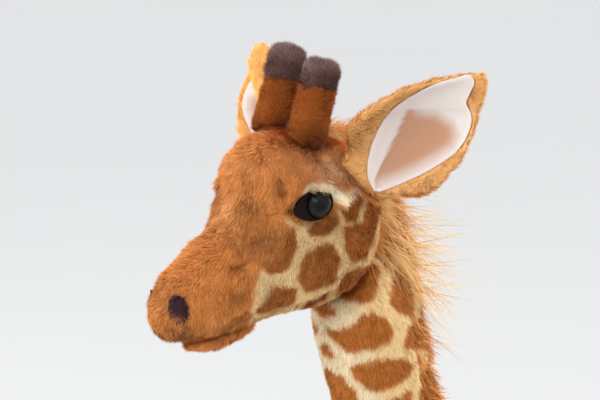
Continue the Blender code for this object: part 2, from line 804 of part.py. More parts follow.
def build_eye(side, way, head, parts, surfaces):
    """A dome and stem, the rim between dome and head, the washer on the stem, and their seats in the head."""
    share, angle = EYE_SHARE, way * EYE_ANGLE
    out = head.normal(share, angle)
    forward = Vector((0, -math.cos(RIM_PITCH), -math.sin(RIM_PITCH)))
    seat = facing(head.point(share, angle) - out * RIM_SINK, out, forward)
    dome_radius, stem = EYE_DIAMETER / 2, STEM_DIAMETER / 2
    rim_low, rim_high = SEAM_GAP, SEAM_GAP + RIM_THICKNESS
    dome_low = rim_high + SEAM_GAP
    turns = [math.pi / 2 * k / DOME_STEPS for k in range(DOME_STEPS + 1)]
    dome = [(dome_radius * math.cos(t), dome_low + EYE_DOME_HEIGHT * math.sin(t)) for t in turns[:-1]]
    top = (0, dome_low + EYE_DOME_HEIGHT)
    profile = [top, *reversed(dome), (stem, dome_low), (stem, -STEM_LENGTH), (0, -STEM_LENGTH)]
    parts[side + "_eye"] = add(side + "_eye", spun(profile), surfaces["eye_plastic"], matrix=seat)

    rim_outline = almond(RIM_FRONT, RIM_BACK, RIM_HEIGHT, ROUND_STEPS)
    rim = add(side + "_eye_rim", plate(rim_outline, rim_low, rim_high), surfaces["rim_felt"], matrix=seat)
    hole, edge = stem + BORE_CLEARANCE, WASHER_DIAMETER / 2
    stem_hole = spun([(0, -CUT_OVERRUN), (hole, -CUT_OVERRUN), (hole, CUT_OVERRUN), (0, CUT_OVERRUN)])
    cut(rim, cutter(side + "_stem_hole", stem_hole, matrix=seat))
    parts[side + "_eye_rim"] = rim

    washer_low = -WASHER_DEPTH
    washer_high = washer_low + WASHER_THICKNESS
    ring = [(hole, washer_low), (edge, washer_low), (edge, washer_high), (hole, washer_high)]
    washer = add(side + "_eye_washer", spun(ring, closed=True), surfaces["washer_plastic"], matrix=seat)
    parts[side + "_eye_washer"] = washer

    grown = almond(RIM_FRONT + SEAM_GAP, RIM_BACK + SEAM_GAP, RIM_HEIGHT + 2 * SEAM_GAP, ROUND_STEPS)
    cut(parts["head"], cutter(side + "_rim_seat", plate(grown, 0, CUT_OVERRUN), matrix=seat))
    stem_end = -STEM_LENGTH - SEAM_GAP
    pocket_edge = edge + SEAM_GAP
    pocket = [
        (0, CUT_OVERRUN),
        (hole, CUT_OVERRUN),
        (hole, washer_high + SEAM_GAP),
        (pocket_edge, washer_high + SEAM_GAP),
        (pocket_edge, washer_low - SEAM_GAP),
        (hole, washer_low - SEAM_GAP),
        (hole, stem_end),
        (0, stem_end),
    ]
    cut(parts["head"], cutter(side + "_stem_bore", spun(pocket), matrix=seat))


def nostril_bmesh(grow):
    bm = ball(Vector((0, 0, 0)), 1)
    size = (NOSTRIL_LENGTH / 2 + grow, NOSTRIL_WIDTH / 2 + grow, NOSTRIL_THICKNESS / 2 + grow)
    bmesh.ops.scale(bm, vec=size, verts=bm.verts)
    return bm


def build_nostril(side, way, head, parts, surfaces):
    """A lens of dark plush, half sunk in the muzzle, its length down the muzzle's front."""
    share, angle = NOSTRIL_SHARE, way * NOSTRIL_ANGLE
    out = head.normal(share, angle)
    centre = head.point(share, angle) - out * NOSTRIL_SINK
    seat = facing(centre, out, head.frame(share)[3])
    parts[side + "_nostril"] = add(side + "_nostril", nostril_bmesh(0), surfaces["dark_plush"], matrix=seat)
    cut(parts["head"], cutter(side + "_nostril_seat", nostril_bmesh(SEAM_GAP), matrix=seat))


def build_leg(name, body, share, way, table, depth, set_back, tools, parts, surfaces):
    form = leg_form(body, share, way, table, depth, set_back)
    leg = add(name + "_leg", form.bmesh(LEG_FACETS), surfaces["cream_plush"])
    cut(leg, tools["body"])
    parts[name + "_leg"] = leg
    parts[name + "_hoof"] = build_hoof(name, form, surfaces)
    return form


def build_hoof(name, leg, surfaces):
    """A hoof with a flat sole, its toe a little ahead of the leg and its top a lip wider than the leg."""
    top = leg.line(0)
    front, back, half = leg.size(0)
    sole = Vector((top.x, top.y - HOOF_TOE_LEAD, 0))
    middle, end = sole + Vector((0, 0, SOLE_ROUNDING)), Vector((top.x, top.y, HOOF_HEIGHT))
    bm = bmesh.new()
    rings = []
    levels = (
        (sole, HOOF_WIDTH / 2 - SOLE_ROUNDING, HOOF_LENGTH / 2 - SOLE_ROUNDING),
        (middle, HOOF_WIDTH / 2, HOOF_LENGTH / 2),
        (end, half + HOOF_LIP, (front - back) / 2 + HOOF_LIP),
    )
    for centre, half_width, half_length in levels:
        turns = [2 * math.pi * j / ROUND_STEPS for j in range(ROUND_STEPS)]
        ring = [centre + Vector((half_width * math.cos(t), half_length * math.sin(t), 0)) for t in turns]
        rings.append([bm.verts.new(point) for point in ring])
    for ring, following in zip(rings, rings[1:]):
        for j in range(ROUND_STEPS):
            n = (j + 1) % ROUND_STEPS
            bm.faces.new((ring[j], ring[n], following[n], following[j]))
    bm.faces.new(rings[0])
    bm.faces.new(rings[-1])
    bmesh.ops.recalc_face_normals(bm, faces=bm.faces)
    return add(name + "_hoof", bm, surfaces["dark_plush"])


def build_tail(body, parts, surfaces):
    """A tail that hangs from a ball in a socket of the rump, and its long-haired tuft."""
    root = body.point(TAIL_SHARE, 0) + body.normal(TAIL_SHARE, 0) * TAIL_STANDOFF
    start_way = Vector((0, math.sin(TAIL_TOP_ANGLE), -math.cos(TAIL_TOP_ANGLE)))
    end_way = Vector((0, math.sin(TAIL_END_ANGLE), -math.cos(TAIL_END_ANGLE)))
    mean = (start_way + end_way).normalized()
    end = root + mean * TAIL_LENGTH
    line = bent(root, end, start_way, end_way)
    tail_form = Form(line, TAIL_SHARES, TAIL_WIDTH, TAIL_WIDTH, flat_start=True, flat_end=True)
    tail = add("tail", tail_form.bmesh(SMALL_FACETS), surfaces["plush"], origin=root)
    join(tail, cutter("tail_ball", ball(root, TAIL_BALL_RADIUS)))
    cut(parts["body"], cutter("tail_socket", ball(root, TAIL_BALL_RADIUS + SEAM_GAP)))
    top = end + end_way * SEAM_GAP
    tuft_line = straight(top, top + end_way * TUFT_LENGTH)
    tuft_form = Form(tuft_line, TUFT_SHARES, TUFT_WIDTH, TUFT_WIDTH, flat_start=True)
    parts["tail"] = tail
    parts["tail_tuft"] = add("tail_tuft", tuft_form.bmesh(SMALL_FACETS), surfaces["dark_plush"], origin=root)


def wire_points(line, start, end):
    """Points along a line at about one wire step, as a stiffener is bent."""
    samples = [line(k / LENGTH_SAMPLES) for k in range(LENGTH_SAMPLES + 1)]
    length = sum((b - a).length for a, b in zip(samples, samples[1:]))
    count = max(round(length * abs(end - start) / WIRE_STEP), 2)
    return [line(start + (end - start) * k / count) for k in range(count + 1)]


def arch_points(body, left, right):
    """The route of a leg pair's stiffener: up one leg, across the body and down the other leg."""
    low, high = left.line(0).z, left.line(1).z
    crossbar = body.line(0).z + WIRE_CROSSBAR_RISE
    foot_share = (HOOF_HEIGHT + WIRE_FOOT_RISE - low) / (high - low)
    knee_share = (crossbar - WIRE_TURN_RADIUS - low) / (high - low)
    up = wire_points(left.line, foot_share, knee_share)
    down = list(reversed(wire_points(right.line, foot_share, knee_share)))
    corner = up[-1]
    bends = []
    for k in range(1, WIRE_TURN_STEPS + 1):
        turn = math.pi / 2 * k / WIRE_TURN_STEPS
        inward, rise = WIRE_TURN_RADIUS * (1 - math.cos(turn)), WIRE_TURN_RADIUS * math.sin(turn)
        bends.append(Vector((corner.x - inward, corner.y, corner.z + rise)))
    mirrored = [Vector((-point.x, point.y, point.z)) for point in reversed(bends)]
    return [*up, *bends, *mirrored, *down]


def seat_on_origin(root, parts):
    """Moves the whole toy so that its bounds are centred over the origin."""
    bpy.context.view_layer.update()
    graph = bpy.context.evaluated_depsgraph_get()
    corners = []
    for obj in parts.values():
        evaluated = obj.evaluated_get(graph)
        mesh = evaluated.to_mesh()
        corners += [obj.matrix_world @ vert.co for vert in mesh.vertices]
        evaluated.to_mesh_clear()
    ys = [corner.y for corner in corners]
    root.location.y = -(min(ys) + max(ys)) / 2


def main():
    clear_scene()
    surfaces = materials()
    parts = {}
    head, body = head_form(), body_form()
    neck, jaw = neck_form(head, body), jaw_form(head)
    tools = {
        "head": cutter("head_cutter", head.bmesh(HEAD_FACETS, SEAM_GAP)),
        "body": cutter("body_cutter", body.bmesh(BODY_FACETS, SEAM_GAP)),
        "neck": cutter("neck_cutter", neck.bmesh(NECK_FACETS, SEAM_GAP)),
    }

    parts["head"] = add("head", head.bmesh(HEAD_FACETS), surfaces["plush"])
    parts["body"] = add("body", body.bmesh(BODY_FACETS), surfaces["cream_plush"])
    parts["neck"] = add("neck", neck.bmesh(NECK_FACETS), surfaces["cream_plush"])
    cut(parts["neck"], tools["head"])
    cut(parts["neck"], tools["body"])
    parts["lower_jaw"] = add("lower_jaw", jaw.bmesh(JAW_FACETS), surfaces["plush"])
    cut(parts["lower_jaw"], tools["head"])

    mane = mane_form(head, neck)
    parts["mane"] = add("mane", mane.bmesh(MANE_FACETS), surfaces["mane_plush"])
    for tool in tools.values():
        cut(parts["mane"], tool)

    for side, way in SIDES:
        shaft, tip = horn_forms(head, way)
        horn = add(side + "_horn", shaft.bmesh(SMALL_FACETS), surfaces["plush"])
        cut(horn, tools["head"])
        parts[side + "_horn"] = horn
        parts[side + "_horn_tip"] = add(side + "_horn_tip", tip.bmesh(SMALL_FACETS), surfaces["dark_plush"])
        build_ear(side, way, head, parts, surfaces)
        build_eye(side, way, head, parts, surfaces)
        build_nostril(side, way, head, parts, surfaces)

    pairs = (
        ("front", FRONT_LEG_SHARE, FRONT_LEG_SHARES, FRONT_LEG_DEPTH, 0),
        ("rear", REAR_LEG_SHARE, REAR_LEG_SHARES, REAR_LEG_DEPTH, HOCK_SET_BACK),
    )
    for end, share, table, depth, set_back in pairs:
        forms = {}
        for side, way in SIDES:
            name = f"{end}_{side}"
            forms[side] = build_leg(name, body, share, way, table, depth, set_back, tools, parts, surfaces)
        route = arch_points(body, forms["left"], forms["right"])
        parts[end + "_leg_wire"] = tube(end + "_leg_wire", route, WIRE_RADIUS, surfaces["steel"])
        tool = bore(end + "_leg_bore", route)
        for holder in ("body", f"{end}_left_leg", f"{end}_right_leg"):
            cut(parts[holder], tool)

    build_tail(body, parts, surfaces)
    route = wire_points(neck.line, WIRE_TOP_SHARE, WIRE_END_SHARE)
    parts["neck_wire"] = tube("neck_wire", route, WIRE_RADIUS, surfaces["steel"])
    tool = bore("neck_bore", route)
    for holder in ("head", "neck", "body"):
        cut(parts[holder], tool)

    giraffe = bpy.data.objects.new("giraffe", None)
    bpy.context.scene.collection.objects.link(giraffe)
    for obj in list(bpy.context.scene.collection.objects):
        if obj is not giraffe:
            obj.parent = giraffe
    seat_on_origin(giraffe, parts)


main()
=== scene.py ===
"""The looks of a standing plush giraffe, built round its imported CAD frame.

Each stuffed form gets a skin, remeshed from its CAD node and marked with its coat's patches, and a pile of
short blades that grow from that skin. The markings are drawn once in the photograph's picture plane, in
pixels of a 600 by 400 frame, and the far side mirrors them.
"""

import json
import math

import bmesh
import bpy
import numpy as np
from bpy.props import FloatProperty, FloatVectorProperty, IntProperty, PointerProperty
from mathutils import Matrix, Vector
from mathutils.bvhtree import BVHTree


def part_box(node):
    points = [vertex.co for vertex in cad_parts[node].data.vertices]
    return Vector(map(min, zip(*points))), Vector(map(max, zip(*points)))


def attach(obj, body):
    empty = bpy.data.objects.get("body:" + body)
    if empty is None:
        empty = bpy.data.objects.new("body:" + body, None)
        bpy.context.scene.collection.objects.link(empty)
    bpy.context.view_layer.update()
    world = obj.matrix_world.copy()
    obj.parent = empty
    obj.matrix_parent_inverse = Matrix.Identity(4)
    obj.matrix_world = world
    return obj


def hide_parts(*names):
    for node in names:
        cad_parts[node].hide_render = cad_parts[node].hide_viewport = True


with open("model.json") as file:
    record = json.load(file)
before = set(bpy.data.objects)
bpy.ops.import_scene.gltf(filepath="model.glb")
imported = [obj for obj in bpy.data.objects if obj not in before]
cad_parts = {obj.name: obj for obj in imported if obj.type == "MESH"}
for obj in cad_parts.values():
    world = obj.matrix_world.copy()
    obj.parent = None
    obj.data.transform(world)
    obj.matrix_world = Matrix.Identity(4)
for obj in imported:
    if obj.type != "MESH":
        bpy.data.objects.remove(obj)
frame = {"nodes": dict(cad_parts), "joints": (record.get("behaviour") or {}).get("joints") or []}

bl_info = {
    "name": "Plush giraffe",
    "version": (1, 0, 0),
    "blender": (4, 5, 0),
    "location": "View3D > Sidebar > Giraffe",
    "description": "Dresses the CAD frame of a standing plush giraffe in plush, satin and glossy eyes",
    "category": "Object",
}

SIDES = (("left", 1), ("right", -1))
MERGE = 0.00001
# Across one lean of the pile, where its fibres cling together
TUFT_SIZE = 0.0042

# The camera, fitted to the photograph
CAMERA_PLACE = (0.5332, -0.4827, 0.6833)
CAMERA_AZIMUTH = 54
CAMERA_ELEVATION = 13
CAMERA_LENS = 90
SENSOR_WIDTH = 36
PICTURE_WIDTH, PICTURE_HEIGHT = 600, 400
# The focal length in pixels
FOCAL = PICTURE_WIDTH * CAMERA_LENS / SENSOR_WIDTH

# The studio's floor, and its lamps: place, size, the setting that gives the power and its share, and tint
FLOOR_SIZE = 15
LAMPS = {
    "key lamp": ((0.35, -1.3, 1.6), 1.4, "key", 1.0, (1.0, 0.98, 0.95)),
    "side lamp": ((-1.3, -0.4, 1.2), 1.2, "key", 0.85, (0.95, 0.98, 1.0)),
    "rim lamp": ((0.9, 1.1, 1.3), 1.0, "rim", 1.0, (1.0, 0.97, 0.93)),
    "eye light": ((0.32, -1.50, 1.18), 0.34, "key", 1.1, (0.95, 0.98, 1.0)),
}
LAMP_AIM = (0, -0.05, 0.4)

# Each kind of blade, one unit long: its segments, bend, taper and wave
STRANDS = {"short_blade": (1, 0, 1, 0), "long_blade": (4, 0.35, 2.2, 0.5)}
# The pile of each part: its kind of blade, how many of them a piece gets and how wide they are
PILES = {
    "body": ("short_blade", 116000, 0.00070),
    "leg": ("short_blade", 56000, 0.00060),
    "hoof": ("short_blade", 12000, 0.00050),
    "neck": ("short_blade", 124000, 0.00040),
    "head": ("short_blade", 170000, 0.00035),
    "brow": ("long_blade", 700, 0.00040),
    "jaw": ("short_blade", 42000, 0.00036),
    "horn": ("short_blade", 46000, 0.00033),
    "horn tip": ("short_blade", 22000, 0.00034),
    "ear": ("short_blade", 68000, 0.00038),
    "nostril": ("short_blade", 6000, 0.00030),
    "mane": ("long_blade", 14500, 0.00038),
    "mane wisps": ("long_blade", 700, 0.00030),
    "mane side": ("short_blade", 36000, 0.00044),
    "tail": ("short_blade", 20000, 0.00050),
    "tail tuft": ("long_blade", 7000, 0.00050),
}
# How far a blade is turned about its own length, at most
BLADE_ROLL = 0.9
# How far the piles of a form's two halves reach over its middle plane
SEAM = 0.0008
# Round each blade in its cell of the bake's layout
CELL_MARGIN = 0.15
# How the plumped skins are simulated
CLOTH_QUALITY = 5
CLOTH_PRESSURE = 4
CLOTH_FRAMES = 14
# The fill of each eye's socket and of its stem's bore: from, to and radius, along the eye's axis
EYE_SOCKET = (-0.0150, -0.0030, 0.0084)
EYE_BORE = (-0.0040, -0.0006, 0.0034)
# Half the almond rim's length and height, and how far from its plane a point still counts as beside it
RIM_LENGTH, RIM_HEIGHT, RIM_DEPTH = 0.0104, 0.0068, 0.012
# Heights above the floor: the flat of a sole, the top of a hoof's pile and the foot of a leg's
SOLE_HEIGHT = 0.0012
HOOF_TOP = 0.0255
LEG_FOOT = (0.0262, 0.0272)
# How the edges of the body's patches wander: by how much, and over which size
PATCH_WANDER = (0.0014, 0.018)

# Patches of the neck and cheek, as outlines in the picture. Below the rows in NECK_DRAWN they are procedural
NECK_DRAWN = (402, 410)
PATCHES = (
    ((307, 249), (325, 239), (335, 241), (341, 256), (337, 277), (323, 285), (305, 289), (299, 277),
     (299, 263)),
    ((307, 227), (316, 221), (332, 213), (339, 211), (340, 222), (334, 231), (323, 235), (310, 234)),
    ((339, 204), (348, 191), (362, 189), (362, 203), (354, 219), (346, 222)),
    ((368, 189), (377, 199), (380, 209), (374, 226), (372, 240), (366, 256), (357, 260), (349, 257),
     (344, 245), (343, 226), (352, 221), (362, 217)),
    ((383, 224), (391, 220), (397, 238), (394, 252), (380, 255), (374, 253), (377, 238)),
    ((348, 268), (364, 261), (377, 263), (376, 281), (373, 297), (359, 301), (346, 300), (337, 292),
     (339, 281)),
    ((391, 266), (399, 263), (409, 279), (413, 291), (413, 307), (403, 314), (394, 309), (385, 300),
     (387, 284)),
    ((326, 324), (350, 322), (357, 313), (373, 307), (387, 318), (393, 327), (387, 341), (373, 347),
     (348, 350), (337, 341), (328, 332)),
    ((405, 325), (421, 314), (428, 316), (430, 332), (425, 347), (414, 348), (400, 343), (401, 334)),
    ((347, 363), (367, 356), (387, 353), (403, 357), (415, 361), (405, 375), (387, 388), (376, 391),
     (362, 384), (351, 374)),
    ((421, 365), (434, 352), (439, 366), (440, 388), (438, 412), (424, 416), (417, 405), (417, 384)),
    ((321, 360), (332, 366), (344, 372), (357, 388), (360, 404), (352, 418), (336, 416), (328, 400),
     (326, 382)),
    ((322, 340), (328, 338), (334, 349), (337, 354), (332, 357), (324, 349)),
    ((307, 318), (316, 318), (323, 324), (318, 331), (312, 325)),
    ((309, 309), (328, 301), (338, 307), (337, 314), (316, 313)),
    ((374, 406), (391, 395), (409, 385), (411, 400), (410, 414), (400, 428), (384, 424)),
)
FACE_PATCHES = (
    ((296, 309), (307, 300), (316, 294), (329, 290), (328, 297), (316, 302), (303, 308)),
    ((256, 305), (269, 293), (273, 283), (287, 282), (298, 285), (296, 299), (287, 305), (272, 310),
     (259, 311)),
    ((285, 218), (295, 227), (298, 242), (293, 261), (282, 270), (272, 272), (262, 262), (253, 252),
     (236, 246), (232, 230), (250, 215)),
)
# The cream part of the face lies inside this outline, apart from its patches
FACE_CREAM = (
    (286, 217), (284, 240), (270, 258), (258, 268), (253, 286), (251, 300), (246, 330), (300, 420),
    (620, 420), (620, 160), (400, 176), (378, 184), (352, 184), (345, 198), (334, 212), (312, 222),
)
BROW_TUFT = (
    (303, 191), (308, 184), (316, 180), (326, 179), (333, 185), (341, 188), (350, 187), (361, 178),
    (359, 186), (350, 191), (347, 198), (340, 202), (330, 197), (322, 192), (312, 190),
)
# The lining of the near ear: the front and back sides of its outline from root to tip, the fold pressed
# into it and the place of its painted shade and glow, where the plush behind it would shine through, with the
# edges there that fade
LINING_FRONT = (
    (375, 191), (369, 181), (367, 172), (368, 160), (371, 146), (376, 133), (383, 120), (393, 108),
    (407, 98), (422, 90), (439, 82), (454, 78), (466, 74),
)
LINING_BACK = (
    (379, 192), (385, 190), (399, 185), (415, 178), (429, 171), (444, 162), (456, 153), (465, 141),
    (470, 129), (472, 121), (471, 113), (467, 105), (466, 101), (469, 96), (472, 89), (475, 84),
    (474, 77), (470, 74),
)
LINING_FOLD = (
    (408, 109), (394, 139), (380, 167), (375, 180), (376, 192),
)
LINING_PAINTED_GLOW = (
    (408, 109), (436, 110), (456, 122), (462, 136), (455, 150), (440, 160), (420, 171), (400, 180),
    (384, 186), (377, 189), (375, 180), (380, 167), (394, 139),
)
LINING_FADE = (
    (422, 106), (440, 108), (458, 120), (464, 136), (456, 151), (440, 161), (420, 172), (400, 181),
    (384, 187),
)
# Above this row of the picture the whole lining lies as high as its fold
LINING_RAISED = 110
LINING_ROWS, LINING_COLUMNS = 46, 26
EYE_REACH = 0.0075
LINING_CLEARANCE = 0.0007
LINING_FOLD_RISE = 0.0005
LINING_THICKNESS = 0.0003
# The nostrils' pile, and how deep each is sewn into the fur. Its pile is shorter by as much, so the far one's
# blades have no length
NOSTRIL_PILE = 0.0026
NOSTRIL_SINKS = {"left": 0.0002, "right": 0.0026}
# How far each horn's stuffed end is pushed down, as sewn by hand
HORN_DROPS = {"left": 0.0056, "right": 0.0014}
HORN_END_WIDTH = 0.94
# How each ear is turned: swept back, raised and rolled, in degrees
EAR_TURNS = {"left": (17, 39, 62), "right": (18, 37, 97)}
# How far the front and back halves of each ear are cupped inwards, in degrees, and where from the ear's
# middle line and on which radius they bend
EAR_CUPS = {"left": (0, 0), "right": (30, 13)}
CUP_START = 0.002
CUP_RADIUS = 0.014
# How much painted light each ear's plush gets, drawn towards its pale tip colour
EAR_PAINTED_LIGHTS = {"left": 0.25, "right": 0.0}
# How far each ear's tip is drawn out, and how its lining is cut longer, and wider at the back
EAR_POINTS = {"left": 0.0035, "right": 0.0004}
LINING_STRETCH = {"left": (1.0, 1.0), "right": (0.94, 1.14)}
# Painted shade on the face, in its creases and hollows, under the chin and round the nose, with one
# near-black mark that draws out the eye's almond corner: middle, half-width, half-height and strength
FACE_PAINTED_SHADES = (
    (252, 203, 12, 14, 0.62),
    (262, 236, 26, 18, 0.70),
    (290, 210, 6, 4, 0.95),
    (244, 218, 7, 7, 0.45),
    (242, 249, 6, 6, 0.55),
    (237, 265, 8, 5, 0.75),
    (240, 294, 9, 7, 0.60),
    (182, 330, 24, 13, 0.75),
    (178, 300, 14, 20, 0.35),
    (228, 326, 10, 5, 0.55),
    (280, 184, 9, 16, 0.25),
    (318, 262, 20, 24, 0.35),
    (276, 297, 18, 12, 0.40),
)
# Painted light on the face, on lit places such as the brow's edge, the ridge of the nose, the lips and the
# peach fur between the horn, the brow and the ear: middle, half-width, half-height and strength
FACE_PAINTED_LIGHTS = (
    (233, 206, 5, 20, 0.55),
    (222, 226, 10, 6, 0.45),
    (294, 222, 9, 5, 0.70),
    (338, 164, 28, 18, 1.00),
    (354, 170, 16, 14, 1.00),
    (340, 148, 22, 12, 0.80),
    (304, 158, 24, 12, 0.30),
    (256, 158, 34, 22, 0.16),
    (222, 318, 10, 4, 0.35),
)
# Painted light over the brow, in the brow's pale colour: middle, half-width, half-height and strength
BROW_PAINTED_LIGHT = ((338, 167, 20, 12, 0.42), (352, 172, 9, 8, 0.30))
# Half the width of the painted shade along the mouth's crease, in pixels
MOUTH_SHADE_WIDTH = 2.6
# Creases pressed into the face, the mouth first: their line, half-width in pixels and depth in metres
CREASES = (
    (((253, 312), (237, 318), (228, 326), (206, 339), (184, 337)), 4.0, 0.0022),
    (((284, 176), (286, 192), (289, 204)), 4.5, 0.0016),
    (((270, 213), (289, 211)), 4.0, 0.0014),
    (((300, 165), (280, 200), (255, 240)), 7.0, 0.0008),
    (((238, 264), (247, 262)), 5.0, 0.0022),
    (((240, 249), (243, 251)), 4.0, 0.0012),
    (((236, 294), (244, 292)), 6.0, 0.0012),
    (((350, 156), (368, 180), (378, 198)), 2.5, 0.0010),
)
# Fuller places of the face, in the same terms
FULLNESS = (
    (((226, 150), (214, 172), (213, 192)), 12.0, 0.0022),
    (((262, 226), (282, 250)), 16.0, 0.0012),
    (((285, 203), (275, 200)), 8.0, 0.0012),
    (((300, 176), (340, 172)), 10.0, 0.0014),
    (((330, 148), (346, 164), (360, 182)), 9.0, 0.0020),
    (((160, 318), (186, 332), (212, 330)), 14.0, 0.0016),
)


def tone(red, green, blue):
    """A colour from its three 8-bit values, as the linear numbers that a shader takes."""
    return tuple(((value / 255 + 0.055) / 1.055) ** 2.4 for value in (red, green, blue))


def colour(name, description, value):
    return FloatVectorProperty(
        name=name, description=description, subtype="COLOR", size=3, min=0, max=1, default=value
    )


def length(name, description, value):
    return FloatProperty(
        name=name, description=description, subtype="DISTANCE", unit="LENGTH", min=0, default=value
    )


class CoatSettings(bpy.types.PropertyGroup):
    fur: colour("Face fur", "Plain fur of the forehead, nose and horns", tone(214, 134, 66))
    patch: colour("Patches", "Patches of the neck, body and legs", tone(184, 105, 38))
    cream: colour("Cream", "Gaps between the patches", tone(255, 218, 160))
    # The colour of the painted shade on the face and jaw, which also darkens the cheek's patches
    dark: colour("Shaded fur", "Darkest brown of the face", tone(96, 46, 16))
    # The brow's colour, also used for the painted light over the brow
    pale: colour("Brow", "White tufts over the eyes", tone(255, 234, 200))
    # The fur's tips, and also the colour of the painted light on the face
    tip: colour("Tips", "Light tips of the fur", tone(250, 188, 126))
    face_pile: length("Face pile", "Length of the fur on the face", 0.0050)
    neck_pile: length("Neck pile", "Length of the fur on the neck", 0.0034)
    body_pile: length("Body pile", "Length of the fur on the body and legs", 0.0052)
    gap: length("Patch gap", "Half the width of a cream gap on the body", 0.0021)
    seed: IntProperty(name="Seed", description="Seed of the coat and its pile", default=7, min=0)


class HornSettings(bpy.types.PropertyGroup):
    shaft: colour("Shaft", "Fur of the horns' shafts", tone(170, 90, 30))
    tip: colour("Tip", "Dark fur of the horns' ends", tone(104, 74, 66))
    pile: length("Pile", "Length of the fur on the horns", 0.0032)


class EarSettings(bpy.types.PropertyGroup):
    plush: colour("Plush", "Fur of the ears' backs and rims", tone(255, 184, 98))
    lining: colour("Lining", "Satin of the ears' open sides", tone(208, 197, 191))
    # Painted shade and glow on the satin, where the plush behind it would shine through
    painted_shade_and_glow: colour("Warm lining", "Satin where the plush behind it shines through", tone(176, 130, 100))
    pile: length("Pile", "Length of the fur on the ears", 0.0040)


class EyeSettings(bpy.types.PropertyGroup):
    dome: colour("Dome", "Plastic of the eyes", tone(4, 4, 5))
    iris: colour("Iris", "Dark ring in the eyes' plastic", tone(24, 28, 34))
    rim: colour("Rim", "Almond patch under each eye", tone(38, 26, 24))
    nostril: colour("Nostril", "Dark fur of the nostrils", tone(70, 44, 50))


class ManeSettings(bpy.types.PropertyGroup):
    hair: colour("Hair", "Long hair of the mane", tone(240, 164, 84))
    tail: colour("Tail hair", "Long hair of the tail's tuft", tone(78, 44, 30))
    reach: length("Length", "Length of the mane's hair", 0.0150)
    hoof: colour("Hoof", "Short dark plush of the hooves", tone(72, 46, 34))


class StageSettings(bpy.types.PropertyGroup):
    floor: colour("Floor", "Colour of the floor", tone(226, 224, 222))
    sky: colour("Background", "What the camera sees behind the floor", tone(236, 239, 241))
    light: FloatProperty(name="Light", description="Strength of the world's light", default=0.92, min=0)
    key: FloatProperty(name="Key", description="Power of the large lamp", unit="POWER", default=9.5, min=0)
    rim: FloatProperty(name="Rim", description="Power of the lamp behind", unit="POWER", default=13, min=0)


GROUPS = {
    "giraffe_coat": CoatSettings,
    "giraffe_horns": HornSettings,
    "giraffe_ears": EarSettings,
    "giraffe_eyes": EyeSettings,
    "giraffe_mane": ManeSettings,
    "giraffe_stage": StageSettings,
}


class Signal:
    """A node's output in an expression: its operators add Math nodes."""

    def __init__(self, graph, socket):
        self.graph, self.socket = graph, socket

    def maths(self, operation, *values, clamp=False):
        settings = {"operation": operation, "use_clamp": clamp}
        return self.graph.add("ShaderNodeMath", settings, dict(enumerate(values)))

    def __add__(self, other):
        return self.maths("ADD", self, other)

    def __radd__(self, other):
        return self.maths("ADD", other, self)

    def __sub__(self, other):
        return self.maths("SUBTRACT", self, other)

    def __rsub__(self, other):
        return self.maths("SUBTRACT", other, self)

    def __mul__(self, other):
        return self.maths("MULTIPLY", self, other)

    def __pow__(self, other):
        return self.maths("POWER", self, other)

    def clamped(self):
        return self.maths("ADD", self, 0, clamp=True)


class Graph:
    """The nodes of one material or geometry group."""

    def __init__(self, tree):
        self.tree = tree

    def add(self, kind, settings=None, inputs=None, out=None):
        """A new node: its settings are set first, then its sockets get a value or a link."""
        node = self.tree.nodes.new(kind)
        for name, value in (settings or {}).items():
            setattr(node, name, value)
        for name, value in (inputs or {}).items():
            self.feed(self.pick(node.inputs, name), value)
        outputs = [socket for socket in node.outputs if socket.enabled]
        if not outputs:
            return node
        return Signal(self, self.pick(node.outputs, out) if out is not None else outputs[0])

    def pick(self, sockets, name):
        if isinstance(name, int):
            return sockets[name]
        return next(socket for socket in sockets if socket.name == name and socket.enabled)

    def feed(self, socket, value):
        if isinstance(value, Signal):
            self.tree.links.new(value.socket, socket)
        elif socket.type == "RGBA" and len(value) == 3:
            socket.default_value = (*value, 1)
        else:
            socket.default_value = value

    def mix(self, factor, first, second):
        inputs = {"Factor": factor, "A": first, "B": second}
        return self.add("ShaderNodeMix", {"data_type": "RGBA", "blend_type": "MIX"}, inputs)

    def attribute(self, name):
        return self.add("ShaderNodeAttribute", {"attribute_name": name}, out="Fac")

    def place(self):
        return self.add("ShaderNodeTexCoord", out="Object")

    def noise(self, scale, detail):
        inputs = {"Vector": self.place(), "Scale": scale, "Detail": detail, "Roughness": 0.5}
        return self.add("ShaderNodeTexNoise", {}, inputs, "Fac")

    def ramp(self, value, stops):
        node = self.tree.nodes.new("ShaderNodeValToRGB")
        ramp = node.color_ramp
        while len(ramp.elements) < len(stops):
            ramp.elements.new(1)
        for element, (place, level) in zip(ramp.elements, stops):
            element.position = place
            element.color = (level, level, level, 1)
        self.feed(node.inputs["Fac"], value)
        return Signal(self, node.outputs["Color"])


class Finish(Graph):
    """A material on Blender's principled surface."""

    def __init__(self, name, **constants):
        self.material = bpy.data.materials.new(name)
        self.material.use_nodes = True
        super().__init__(self.material.node_tree)
        self.surface = self.tree.nodes["Principled BSDF"]
        self.set(**constants)

    def set(self, **values):
        for name, value in values.items():
            self.feed(self.surface.inputs[name.replace("_", " ")], value)

    def bump(self, height, strength, distance):
        inputs = {"Height": height, "Strength": strength, "Distance": distance}
        self.feed(self.surface.inputs["Normal"], self.add("ShaderNodeBump", {}, inputs))


